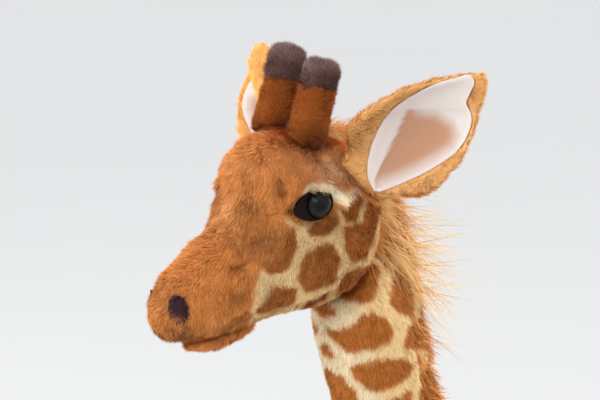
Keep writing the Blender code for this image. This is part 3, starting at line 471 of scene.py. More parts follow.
def plush(name, fur, patch, cream, dark, pale, tip):
    """Plush whose colours follow its skin's marks, with painted shade darkening the blades towards their
    roots and the skin under them, and light tips.
    """
    made = Finish(name, Roughness=0.9, Sheen_Weight=0.06, Sheen_Roughness=0.5, Specular_IOR_Level=0.12)
    along, lot, clump = (made.attribute(label) for label in ("along", "lot", "clump"))
    blond = made.attribute("cream")
    base = made.mix(made.attribute("patch"), fur, patch)
    base = made.mix(blond, base, cream)
    base = made.mix(made.attribute("dark"), base, dark)
    base = made.mix(made.attribute("light"), base, tip)
    base = made.mix(made.attribute("pale"), base, pale)
    # Painted shade between the fibres: darker towards the blades' roots and on the skin under them; clump and
    # lot vary the tone at random
    light = (0.76 + along * 0.36) * (0.92 + clump * 0.16) * (0.76 + lot * 0.48)
    shaded = made.add("ShaderNodeVectorMath", {"operation": "SCALE"}, {"Vector": base, "Scale": light})
    share = (along**2) * (lot**2) * (0.35 + clump * 0.25) * (1 - blond)
    settings = {"data_type": "RGBA", "clamp_result": True}
    tipped = made.add("ShaderNodeMix", settings, {"Factor": share, "A": shaded, "B": tip})
    made.set(Base_Color=tipped)
    made.bump(made.noise(1600, 2), 0.35, 0.0006)
    return made.material


def view_axes():
    turn, rise = math.radians(CAMERA_AZIMUTH), math.radians(CAMERA_ELEVATION)
    back = np.array((math.sin(turn) * math.cos(rise), -math.cos(turn) * math.cos(rise), math.sin(rise)))
    right = np.array((math.cos(turn), math.sin(turn), 0))
    return right, np.cross(back, right), back


def mirrored(vectors):
    """Points or directions, with those of the far side mirrored to the near side."""
    return np.column_stack((np.abs(vectors[:, 0]), vectors[:, 1:]))


def on_picture(points):
    """Where points, mirrored to the near side, lie in the picture, in pixels."""
    right, up, back = view_axes()
    near = mirrored(points) - np.array(CAMERA_PLACE)
    depth = -(near @ back)
    across = PICTURE_WIDTH / 2 + FOCAL * (near @ right) / depth
    return np.column_stack((across, PICTURE_HEIGHT / 2 - FOCAL * (near @ up) / depth))


def facing_picture(normals):
    """From 0 to 1, how far a surface, mirrored to the near side, turns to the camera."""
    return np.clip((mirrored(normals) @ view_axes()[2]) * 4, 0, 1)


def line_distance(spots, line, closed=False):
    """The distance of spots from a drawn line: with a closed one, positive inside and negative outside."""
    start = np.array(line, float)
    end = np.roll(start, -1, axis=0)
    if not closed:
        start, end = start[:-1], end[:-1]
    span = end - start
    offset = spots[:, None] - start[None]
    share = np.clip((offset * span).sum(2) / np.maximum((span**2).sum(1), 1e-9), 0, 1)
    nearest = np.linalg.norm(offset - share[..., None] * span, axis=2).min(1)
    if not closed:
        return nearest
    x, y = spots[:, :1], spots[:, 1:]
    rise = np.where(np.abs(span[:, 1]) < 1e-9, 1e-9, span[:, 1])
    level = start[:, 0] + (y - start[:, 1]) * span[:, 0] / rise
    crosses = ((start[:, 1] > y) != (end[:, 1] > y)) & (x < level)
    return np.where(crosses.sum(1) % 2 == 1, nearest, -nearest)


def beside(spots, line, width):
    """From 0 to 1, how close spots lie to a drawn line."""
    return np.exp(-((line_distance(spots, line) / width) ** 2))


def evenly(line, count):
    """Points spaced evenly along a drawn line."""
    line = np.array(line, float)
    place = np.concatenate(([0], np.cumsum(np.linalg.norm(np.diff(line, axis=0), axis=1))))
    wanted = np.linspace(0, place[-1], count)
    return np.column_stack([np.interp(wanted, place, line[:, axis]) for axis in (0, 1)])


def evened(grid, passes):
    """A grid of numbers with each drawn towards its neighbours' mean."""
    for _ in range(passes):
        wide = np.pad(grid, 1, mode="edge")
        grid = (wide[:-2, 1:-1] + wide[2:, 1:-1] + wide[1:-1, :-2] + wide[1:-1, 2:] + 2 * grid) / 6
    return grid


def smooth(value, low, high):
    share = np.clip((value - low) / (high - low), 0, 1)
    return share * share * (3 - 2 * share)


def on_side(points, way):
    """From 0 to 1, where points lie on one side of the middle plane."""
    return smooth(way * points[:, 0], -SEAM, SEAM)


def ripple(points, size, seed):
    """Smooth seeded noise, about -1 to 1, that changes over this size."""
    draw = np.random.default_rng(seed)
    total = np.zeros(len(points))
    for _ in range(9):
        way = draw.normal(size=3)
        way *= 2 * math.pi / size * draw.uniform(0.6, 1.5) / np.linalg.norm(way)
        total += np.sin(points @ way + draw.uniform(0, 2 * math.pi))
    return total / 4


def unit(vectors):
    return vectors / np.maximum(np.linalg.norm(vectors, axis=-1, keepdims=True), 1e-12)


def copy_of(*nodes):
    """One bmesh of copies of CAD nodes, with their loose triangles merged."""
    bm = bmesh.new()
    for node in nodes:
        bm.from_mesh(frame["nodes"][node].data)
    bmesh.ops.remove_doubles(bm, verts=bm.verts, dist=MERGE)
    return bm


def place_piece(name, bm):
    mesh = bpy.data.meshes.new(name)
    bm.to_mesh(mesh)
    bm.free()
    obj = bpy.data.objects.new(name, mesh)
    bpy.context.scene.collection.objects.link(obj)
    return obj


def apply_modifiers(obj):
    graph = bpy.context.evaluated_depsgraph_get()
    made = bpy.data.meshes.new_from_object(
        obj.evaluated_get(graph), preserve_all_data_layers=True, depsgraph=graph
    )
    old = obj.data
    obj.modifiers.clear()
    obj.data = made
    bpy.data.meshes.remove(old)
    made.name = obj.name


def points_of(obj):
    found = np.empty(len(obj.data.vertices) * 3, np.float32)
    obj.data.vertices.foreach_get("co", found)
    return found.reshape(-1, 3).astype(float)


def normals_of(obj):
    found = np.empty(len(obj.data.vertices) * 3, np.float32)
    obj.data.vertex_normals.foreach_get("vector", found)
    return found.reshape(-1, 3).astype(float)


def move_to(obj, points):
    obj.data.vertices.foreach_set("co", points.astype(np.float32).ravel())
    obj.data.update()


def mark(obj, name, values):
    """Stores a number or a vector for each of the mesh's points, or one number for all of them."""
    values = np.asarray(values, np.float32)
    if values.ndim == 0:
        values = np.full(len(obj.data.vertices), values)
    kind, field = ("FLOAT_VECTOR", "vector") if values.ndim == 2 else ("FLOAT", "value")
    attribute = obj.data.attributes.get(name) or obj.data.attributes.new(name, kind, "POINT")
    attribute.data.foreach_set(field, values.ravel())


def keep_outer(obj):
    """Leaves only the largest of a mesh's separate shells."""
    bm = bmesh.new()
    bm.from_mesh(obj.data)
    left, best = set(bm.verts), []
    while left:
        shell, queue = [], [left.pop()]
        while queue:
            vert = queue.pop()
            shell.append(vert)
            for edge in vert.link_edges:
                other = edge.other_vert(vert)
                if other in left:
                    left.remove(other)
                    queue.append(other)
        if len(shell) > len(best):
            best = shell
    kept = set(best)
    bmesh.ops.delete(bm, geom=[vert for vert in bm.verts if vert not in kept], context="VERTS")
    bm.to_mesh(obj.data)
    bm.free()


def plumped(obj, most):
    """Lets a stuffed skin fill out as cloth under pressure, each point by no more than this."""
    start = points_of(obj)
    cloth = obj.modifiers.new("cloth", "CLOTH")
    cloth.settings.quality = CLOTH_QUALITY
    cloth.settings.use_pressure = True
    cloth.settings.uniform_pressure_force = CLOTH_PRESSURE
    cloth.settings.effector_weights.gravity = 0
    cloth.collision_settings.use_collision = False
    for number in range(1, CLOTH_FRAMES + 1):
        bpy.context.scene.frame_set(number)
    apply_modifiers(obj)
    bpy.context.scene.frame_set(1)
    moved = points_of(obj) - start
    far = np.linalg.norm(moved, axis=1, keepdims=True)
    if not np.isfinite(far).all():
        raise RuntimeError(f"the cloth of {obj.name} came apart")
    move_to(obj, start + moved * np.minimum(most / np.maximum(far, 1e-9), 1))


def stuffed(name, bm, voxel, tighten, passes=5, levels=1, plump=0):
    """A closed smooth skin round a form: remeshed, smoothed, drawn in, plumped and subdivided."""
    obj = place_piece(name, bm)
    remesh = obj.modifiers.new("remesh", "REMESH")
    remesh.mode = "VOXEL"
    remesh.voxel_size = voxel
    apply_modifiers(obj)
    keep_outer(obj)
    relax = obj.modifiers.new("relax", "SMOOTH")
    relax.factor = 0.5
    relax.iterations = passes
    apply_modifiers(obj)
    move_to(obj, points_of(obj) - normals_of(obj) * tighten)
    if plump:
        plumped(obj, plump)
    if levels:
        finer = obj.modifiers.new("finer", "SUBSURF")
        finer.levels = finer.render_levels = levels
        apply_modifiers(obj)
    obj.data.shade_smooth()
    return obj


def axes_of(node):
    """A flat node's middle, its normal that points outwards to its own side, and its longest direction."""
    points = np.array([vert.co for vert in frame["nodes"][node].data.vertices])
    middle = (points.min(0) + points.max(0)) / 2
    _, _, ways = np.linalg.svd(points - points.mean(0), full_matrices=False)
    out = ways[2] * np.sign(ways[2][0] * middle[0])
    return middle, out, ways[0]


def plug(bm, middle, out, low, high, radius):
    """A round bar along a seat's axis that fills a bore in a copied form."""
    turn = Vector(out).to_track_quat("Z", "Y").to_matrix().to_4x4()
    turn.translation = Vector(middle + out * (low + high) / 2)
    bmesh.ops.create_cone(
        bm, cap_ends=True, segments=24, radius1=radius, radius2=radius, depth=high - low, matrix=turn
    )


def tree_round(obj):
    return BVHTree.FromObject(obj, bpy.context.evaluated_depsgraph_get())


def distances(points, tree):
    return np.array([tree.find_nearest(Vector(point))[3] for point in points])


def distance_to(points, *nodes):
    """The distance of each point from the surface of CAD nodes."""
    bm = copy_of(*nodes)
    tree = BVHTree.FromBMesh(bm)
    bm.free()
    return distances(points, tree)


def ear_ways(side, way):
    """An ear's own directions: along its length, across it, and out of its open side."""
    sweep, rise, roll = (math.radians(turn) for turn in EAR_TURNS[side])
    along = np.array((math.cos(sweep) * math.cos(rise), math.sin(sweep) * math.cos(rise), math.sin(rise)))
    level = np.array((-math.sin(sweep), math.cos(sweep), 0))
    across = level * math.cos(roll) - np.cross(along, level) * math.sin(roll)
    ways = np.array((along, across, np.cross(across, along)))
    ways[:, 0] *= way
    return ways


def ear_root(side):
    """The place on the head that an ear folds about."""
    joint = next(joint for joint in frame["joints"] if joint["child"] == side + "_ear_body")
    return np.array(joint["pos_m"], float)


def coat_sites(coat):
    """Middles of the body's patches: seeded places on the near half of the CAD forms, spaced by region."""
    draw = np.random.default_rng(coat.seed)
    regions = (
        ("body", 0.031),
        ("neck", 0.027),
        ("front_left_leg", 0.023),
        ("rear_left_leg", 0.024),
    )
    sites = []
    for node, spacing in regions:
        bm = copy_of(node)
        bmesh.ops.subdivide_edges(bm, edges=bm.edges, cuts=2, use_grid_fill=True)
        points = np.array([vert.co for vert in bm.verts])
        bm.free()
        points = points[points[:, 0] > 0.003]
        for point in points[draw.permutation(len(points))]:
            room = spacing * (0.62 + 0.38 * min(point[2] / 0.25, 1))
            if all(np.linalg.norm(point - site) > room for site in sites):
                sites.append(point)
    return np.array(sites)


def body_patches(points, normals, coat):
    """From 0 to 1, where the body's and legs' patches lie: cells round seeded places, with cream gaps."""
    wander, size = PATCH_WANDER
    near = mirrored(points)
    near = near + wander * np.column_stack([ripple(points, size, coat.seed + i) for i in range(3)])
    sites = coat_sites(coat)
    away = np.linalg.norm(near[:, None] - sites[None], axis=2)
    order = np.argsort(away, axis=1)[:, :2]
    rows = np.arange(len(points))
    first, second = away[rows, order[:, 0]], away[rows, order[:, 1]]
    apart = np.linalg.norm(sites[order[:, 0]] - sites[order[:, 1]], axis=1)
    edge = (second**2 - first**2) / (2 * apart)
    gap = coat.gap + 0.0022 * smooth(0.15 - points[:, 2], 0, 0.12)
    patch = smooth(edge, gap - 0.0007, gap + 0.0007)
    underside = smooth(-normals[:, 2], 0.75, 0.95)
    belly = underside * smooth(points[:, 2], 0.2, 0.22) * smooth(0.30 - points[:, 2], 0, 0.02)
    return patch * (1 - belly) * smooth(points[:, 2], 0.030, 0.060)


def drawn_patches(points, outlines, seed):
    """From 0 to 1, where patches that are drawn in the picture lie."""
    spots = on_picture(points)
    spots = spots + 1.2 * np.column_stack([ripple(points, 0.010, seed + i) for i in range(2)])
    best = np.full(len(points), -99.0)
    for outline in outlines:
        best = np.maximum(best, line_distance(spots, outline, closed=True))
    return smooth(best, -1.2, 1.8)


def spotted(points, places):
    """From 0 to 1, the strongest of some soft round marks in the picture."""
    spots = on_picture(points)
    found = np.zeros(len(points))
    for x, y, across, up, strength in places:
        away = ((spots[:, 0] - x) / across) ** 2 + ((spots[:, 1] - y) / up) ** 2
        found = np.maximum(found, strength * np.exp(-away))
    return found


def mark_body(obj, coat):
    points, normals = points_of(obj), normals_of(obj)
    patch = body_patches(points, normals, coat)
    mark(obj, "patch", patch)
    mark(obj, "cream", 1 - patch)
    mark(obj, "dark", 0)
    mark(obj, "pale", 0)


def mark_neck(obj, coat):
    points, normals = points_of(obj), normals_of(obj)
    spots = on_picture(points)
    drawn = drawn_patches(points, PATCHES, coat.seed)
    low = smooth(spots[:, 1], *NECK_DRAWN)
    patch = np.maximum(drawn, body_patches(points, normals, coat) * low)
    mark(obj, "patch", patch)
    mark(obj, "cream", 1 - patch)
    mark(obj, "dark", 0)
    front = smooth(-normals[:, 1], 0.1, 0.8) * (1 - patch)
    mark(obj, "pale", front * 0.8)


def mark_head(obj, coat):
    points, normals = points_of(obj), normals_of(obj)
    spots = on_picture(points)
    facing = facing_picture(normals)
    patch = drawn_patches(points, PATCHES + FACE_PATCHES, coat.seed)
    wander = 2 * np.column_stack([ripple(points, 0.012, 3)] * 2)
    zone = smooth(line_distance(spots + wander, FACE_CREAM, closed=True), -1.5, 4.0)
    pale = smooth(line_distance(spots, BROW_TUFT, closed=True), -2, 2) * facing
    # Painted light over the brow, in the brow's pale colour
    pale = np.maximum(pale, spotted(points, BROW_PAINTED_LIGHT) * facing)
    mark(obj, "patch", patch * zone)
    mark(obj, "cream", zone * (1 - patch) * (1 - pale))
    mark(obj, "pale", pale)
    # Painted shade of the face's creases and hollows
    shade = spotted(points, FACE_PAINTED_SHADES) * (0.35 + 0.65 * facing)
    # Painted shade along the mouth's crease
    mouth = 0.65 * beside(spots, CREASES[0][0], MOUTH_SHADE_WIDTH) * facing
    on_face = 0.30 * patch * smooth(342 - spots[:, 0], 0, 12)
    mark(obj, "dark", np.maximum(np.maximum(shade, mouth), on_face))
    # Painted light on the face, drawn towards the fur's pale tip colour
    mark(obj, "light", spotted(points, FACE_PAINTED_LIGHTS) * facing)


def strand(name, segments, bend, taper, wave):
    """One blade of pile: a strip that narrows to a point, one unit long and wide, its front towards +Y."""
    bm = bmesh.new()
    bmesh.ops.create_grid(bm, x_segments=1, y_segments=segments, size=0.5)
    along = bm.verts.layers.float.new("along")
    across = bm.verts.layers.float.new("across")
    for vert in bm.verts:
        share = vert.co.y + 0.5
        vert[along] = share
        vert[across] = vert.co.x + 0.5
        width = 1 - share**taper
        sway = wave * math.sin(share * 2 * math.pi)
        vert.co = (vert.co.x * width + sway, -bend * share**2, share)
    bmesh.ops.remove_doubles(bm, verts=bm.verts, dist=0.0001)
    bm.normal_update()
    bmesh.ops.reverse_faces(bm, faces=[face for face in bm.faces if face.normal.y < 0])
    obj = place_piece(name, bm)
    obj.hide_render = True
    return obj


def pile_group(name, blade, density, width, jitter, sway, seed):
    """The geometry nodes that set blades on a marked skin."""
    tree = bpy.data.node_groups.new(name, "GeometryNodeTree")
    tree.interface.new_socket("Geometry", in_out="INPUT", socket_type="NodeSocketGeometry")
    tree.interface.new_socket("Geometry", in_out="OUTPUT", socket_type="NodeSocketGeometry")
    graph = Graph(tree)
    skin = graph.add("NodeGroupInput")

    def named(kind, label):
        return graph.add("GeometryNodeInputNamedAttribute", {"data_type": kind}, {"Name": label}, "Attribute")

    def draw(kind, low, high, offset):
        inputs = {"Min": low, "Max": high, "Seed": seed + offset}
        return graph.add("FunctionNodeRandomValue", {"data_type": kind}, inputs)

    scatter = {"Mesh": skin, "Density": named("FLOAT", "thick") * density, "Seed": seed}
    settings = {"distribute_method": "RANDOM"}
    spots = graph.add("GeometryNodeDistributePointsOnFaces", settings, scatter, "Points")
    normal = Signal(graph, spots.socket.node.outputs["Normal"])
    inputs = {"Vector": graph.add("GeometryNodeInputPosition"), "Scale": 1 / TUFT_SIZE, "Detail": 2.0}
    noise = graph.add("ShaderNodeTexNoise", {}, inputs, "Fac")
    clump = ((noise - 0.5) * 2.6 + 0.5).clamped()
    stored = (
        ("FLOAT", "lot", draw("FLOAT", 0.0, 1.0, 1)),
        ("FLOAT", "clump", clump),
        ("FLOAT_VECTOR", "skin_normal", normal),
    )
    for kind, label, value in stored:
        settings = {"data_type": kind, "domain": "POINT"}
        inputs = {"Geometry": spots, "Name": label, "Value": value}
        spots = graph.add("GeometryNodeStoreNamedAttribute", settings, inputs)
    spread = draw("FLOAT_VECTOR", (-jitter,) * 3, (jitter,) * 3, 2)
    inputs = {0: named("FLOAT_VECTOR", "lay"), 1: spread}
    way = graph.add("ShaderNodeVectorMath", {"operation": "ADD"}, inputs)
    lean = Signal(graph, noise.socket.node.outputs["Color"])
    lean = graph.add("ShaderNodeVectorMath", {"operation": "SUBTRACT"}, {0: lean, 1: (0.5,) * 3})
    lean = graph.add("ShaderNodeVectorMath", {"operation": "SCALE"}, {"Vector": lean, "Scale": sway})
    way = graph.add("ShaderNodeVectorMath", {"operation": "ADD"}, {0: way, 1: lean})
    turn = graph.add("FunctionNodeAlignRotationToVector", {"axis": "Z"}, {"Vector": way})
    settings = {"axis": "Y", "pivot_axis": "Z"}
    turn = graph.add("FunctionNodeAlignRotationToVector", settings, {"Rotation": turn, "Vector": normal})
    about = {"Axis": (0.0, 0.0, 1.0), "Angle": draw("FLOAT", -BLADE_ROLL, BLADE_ROLL, 3)}
    about = graph.add("FunctionNodeAxisAngleToRotation", {}, about)
    inputs = {"Rotation": turn, "Rotate By": about}
    turn = graph.add("FunctionNodeRotateRotation", {"rotation_space": "LOCAL"}, inputs)
    reach = named("FLOAT", "reach") * draw("FLOAT", 0.70, 1.15, 4) * (0.84 + named("FLOAT", "clump") * 0.30)
    size = {"X": draw("FLOAT", width * 0.7, width * 1.3, 5), "Y": reach, "Z": reach}
    size = graph.add("ShaderNodeCombineXYZ", {}, size)
    source = graph.add("GeometryNodeObjectInfo", {}, {}, "Geometry")
    source.socket.node.inputs["Object"].default_value = blade
    inputs = {"Points": spots, "Instance": source, "Rotation": turn, "Scale": size}
    grown = graph.add("GeometryNodeInstanceOnPoints", {}, inputs)
    grown = graph.add("GeometryNodeRealizeInstances", {}, {"Geometry": grown})
    graph.add("NodeGroupOutput", {}, {"Geometry": grown})
    return tree


def lay_pile(obj, flow, lift, reach, thick=1.0, swirl=0.35, *, seed):
    """Marks on a skin which way its blades lie, how long they are and how thickly they stand."""
    points, normals = points_of(obj), normals_of(obj)
    flow = np.broadcast_to(np.asarray(flow, float), points.shape).copy()
    for axis in range(3):
        flow[:, axis] += swirl * ripple(points, 0.022, seed + axis)
    tangent = unit(flow - normals * (flow * normals).sum(1, keepdims=True))
    rise = (lift + 0.16 * ripple(points, 0.011, seed + 9))[:, None]
    mark(obj, "lay", tangent * np.cos(rise) + normals * np.sin(rise))
    mark(obj, "reach", reach * (1 + 0.14 * ripple(points, 0.006, seed + 12)))
    mark(obj, "thick", thick)


def shared_way(aside, rear, rise):
    """A direction for each point: its own part sideways, and the same parts to the rear and upwards."""
    return np.column_stack((aside, np.full(len(aside), rear), np.full(len(aside), rise)))


def bake_layout(obj, per_blade_points):
    """A UV map in which each blade has its own cell, so that every blade keeps its own colour."""
    mesh = obj.data
    corners = np.empty(len(mesh.loops), np.int32)
    mesh.loops.foreach_get("vertex_index", corners)
    along = np.empty(len(mesh.vertices), np.float32)
    across = np.empty(len(mesh.vertices), np.float32)
    mesh.attributes["along"].data.foreach_get("value", along)
    mesh.attributes["across"].data.foreach_get("value", across)
    count = len(mesh.vertices) // per_blade_points
    side = max(math.ceil(math.sqrt(count)), 1)
    blade = corners // per_blade_points
    room = 1 - 2 * CELL_MARGIN
    spots = np.empty((len(corners), 2), np.float32)
    spots[:, 0] = (blade % side + CELL_MARGIN + room * across[corners]) / side
    spots[:, 1] = (blade // side + CELL_MARGIN + room * along[corners]) / side
    layer = mesh.uv_layers.new(name="OFBake")
    layer.uv.foreach_set("vector", spots.ravel())


def values_of(obj, name):
    found = np.empty(len(obj.data.vertices), np.float32)
    obj.data.attributes[name].data.foreach_get("value", found)
    return found.astype(float)


def thickly(skin, blades):
    """How many blades a square metre takes for this many in all on a skin's marked places."""
    mesh = skin.data
    mesh.calc_loop_triangles()
    corners = np.empty(len(mesh.loop_triangles) * 3, np.int32)
    mesh.loop_triangles.foreach_get("vertices", corners)
    corners = corners.reshape(-1, 3)
    first, second, third = points_of(skin)[corners].transpose(1, 0, 2)
    areas = np.linalg.norm(np.cross(second - first, third - first), axis=1) / 2
    return blades / (areas * values_of(skin, "thick")[corners].mean(1)).sum()


def grow(name, skin, kind, finish, body, seed, jitter=0.24, soften=0.75, sway=0.55):
    """The pile of a marked skin, as a piece of its own."""
    strip, blades, width = PILES[kind]
    blade = bpy.data.objects.get(strip) or strand(strip, *STRANDS[strip])
    obj = bpy.data.objects.new(name, skin.data.copy())
    bpy.context.scene.collection.objects.link(obj)
    modifier = obj.modifiers.new("pile", "NODES")
    density = thickly(skin, blades)
    modifier.node_group = pile_group(name, blade, density, width, jitter, sway, seed)
    apply_modifiers(obj)
    if not len(obj.data.vertices):
        raise RuntimeError(f"no pile grew on {skin.name}")
    bake_layout(obj, len(blade.data.vertices))
    mesh = obj.data
    mesh.materials.clear()
    mesh.materials.append(finish)
    mesh.shade_smooth()
    own = normals_of(obj)
    base = np.empty(len(mesh.vertices) * 3, np.float32)
    mesh.attributes["skin_normal"].data.foreach_get("vector", base)
    base = base.reshape(-1, 3)
    own *= np.sign((own * base).sum(1, keepdims=True) + 1e-9)
    blended = unit(base * soften + own * (1 - soften))
    mesh.normals_split_custom_set_from_vertices(blended.astype(np.float32).tolist())
    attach(obj, body)
    return obj


def dress(obj, finish, body, nodes):
    """Gives a stuffed skin its material, its body and the CAD nodes that it stands for."""
    obj.data.materials.clear()
    obj.data.materials.append(finish)
    for name in ("lot", "clump"):
        mark(obj, name, 0.5)
    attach(obj, body)
    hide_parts(*nodes)


def assign(node, finish):
    """Gives a CAD node a better material."""
    for place in frame["nodes"][node].material_slots:
        place.material = finish


def coat_finish(context):
    found = bpy.data.materials.get("coat plush")
    if found:
        return found
    coat = context.scene.giraffe_coat
    return plush("coat plush", coat.fur, coat.patch, coat.cream, coat.dark, coat.pale, coat.tip)


def one_colour_plush(name, base, tip, dark=None):
    dark = dark or tuple(value * 0.4 for value in base)
    return plush(name, base, base, base, dark, tip, tip)


class GIRAFFE_OT_body(bpy.types.Operator):
    """Body and legs: patched plush with a longer pile"""

    bl_idname = "giraffe.body"
    bl_label = "Body and legs"

    def execute(self, context):
        coat = context.scene.giraffe_coat
        finish = coat_finish(context)
        legs = [f"{end}_{side}_leg" for end in ("front", "rear") for side, _ in SIDES]
        forms = [("body", (0, 0.8, -0.6), 0.0045)] + [(leg, (0, 0.1, -1), 0.0035) for leg in legs]
        for index, (node, flow, voxel) in enumerate(forms):
            form = self.filled_body() if node == "body" else copy_of(node)
            skin = stuffed(node + "_skin", form, voxel, 0.0028, plump=0.0020)
            mark_body(skin, coat)
            points = points_of(skin)
            others = [other for other in ("body", "neck", *legs) if other != node]
            open_air = smooth(distance_to(points, *others), 0.0006, 0.0030)
            if node != "body":
                open_air = open_air * smooth(points[:, 2], *LEG_FOOT)
            lay_pile(skin, flow, 0.55, coat.body_pile, open_air, seed=11 + index)
            dress(skin, finish, "giraffe", [node])
            if node != "body":
                grow(node + "_pile", skin, "leg", finish, "giraffe", 31 + index)
                continue
            for side, way in SIDES:
                mark(skin, "thick", open_air * on_side(points, way))
                grow(f"body_{side}_pile", skin, "body", finish, "giraffe", 38 + way)
        return {"FINISHED"}

    def filled_body(self):
        """A copy of the body with the wires in its bores, their ends drawn back into its box."""
        bm = copy_of("body")
        for wire in ("front_leg_wire", "rear_leg_wire", "neck_wire"):
            part = copy_of(wire)
            mesh = bpy.data.meshes.new("fill")
            part.to_mesh(mesh)
            part.free()
            bm.from_mesh(mesh)
            bpy.data.meshes.remove(mesh)
        low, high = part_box("body")
        for vert in bm.verts:
            vert.co = [min(max(place, least), most) for place, least, most in zip(vert.co, low, high)]
        return bm


class GIRAFFE_OT_hooves(bpy.types.Operator):
    """Hooves: short dark plush over a firm filling, with flat soles"""

    bl_idname = "giraffe.hooves"
    bl_label = "Hooves"

    def execute(self, context):
        settings = context.scene.giraffe_mane
        finish = one_colour_plush("hoof plush", settings.hoof, tone(128, 92, 72))
        for end in ("front", "rear"):
            for side, _ in SIDES:
                node = f"{end}_{side}_hoof"
                skin = stuffed(node + "_skin", copy_of(node), 0.002, 0.0003, passes=3)
                points = points_of(skin)
                points[:, 2] = np.where(points[:, 2] < SOLE_HEIGHT, 0.0, points[:, 2])
                move_to(skin, points)
                wall = smooth(points[:, 2], SOLE_HEIGHT, 0.0025) * smooth(HOOF_TOP - points[:, 2], 0, 0.001)
                reach = np.clip(points[:, 2] * 0.42, 0.0003, 0.0020)
                lay_pile(skin, (0, 0, -1), 0.50, reach, wall, seed=21)
                dress(skin, finish, "giraffe", [node])
                grow(node + "_pile", skin, "hoof", finish, "giraffe", 61)
        return {"FINISHED"}


class GIRAFFE_OT_neck(bpy.types.Operator):
    """Neck: cream plush with drawn patches"""

    bl_idname = "giraffe.neck"
    bl_label = "Neck"

    def execute(self, context):
        coat = context.scene.giraffe_coat
        finish = coat_finish(context)
        skin = stuffed("neck_skin", copy_of("neck", "neck_wire"), 0.0032, 0.0022, plump=0.0012)
        mark_neck(skin, coat)
        points = points_of(skin)
        open_air = smooth(distance_to(points, "head", "body", "mane"), 0.0, 0.0012)
        lay_pile(skin, (0, 0.12, -1), 0.42, coat.neck_pile, open_air, seed=15)
        dress(skin, finish, "giraffe", ["neck"])
        for side, way in SIDES:
            mark(skin, "thick", open_air * on_side(points, way))
            grow(f"neck_{side}_pile", skin, "neck", finish, "giraffe", 41 + way)
        return {"FINISHED"}


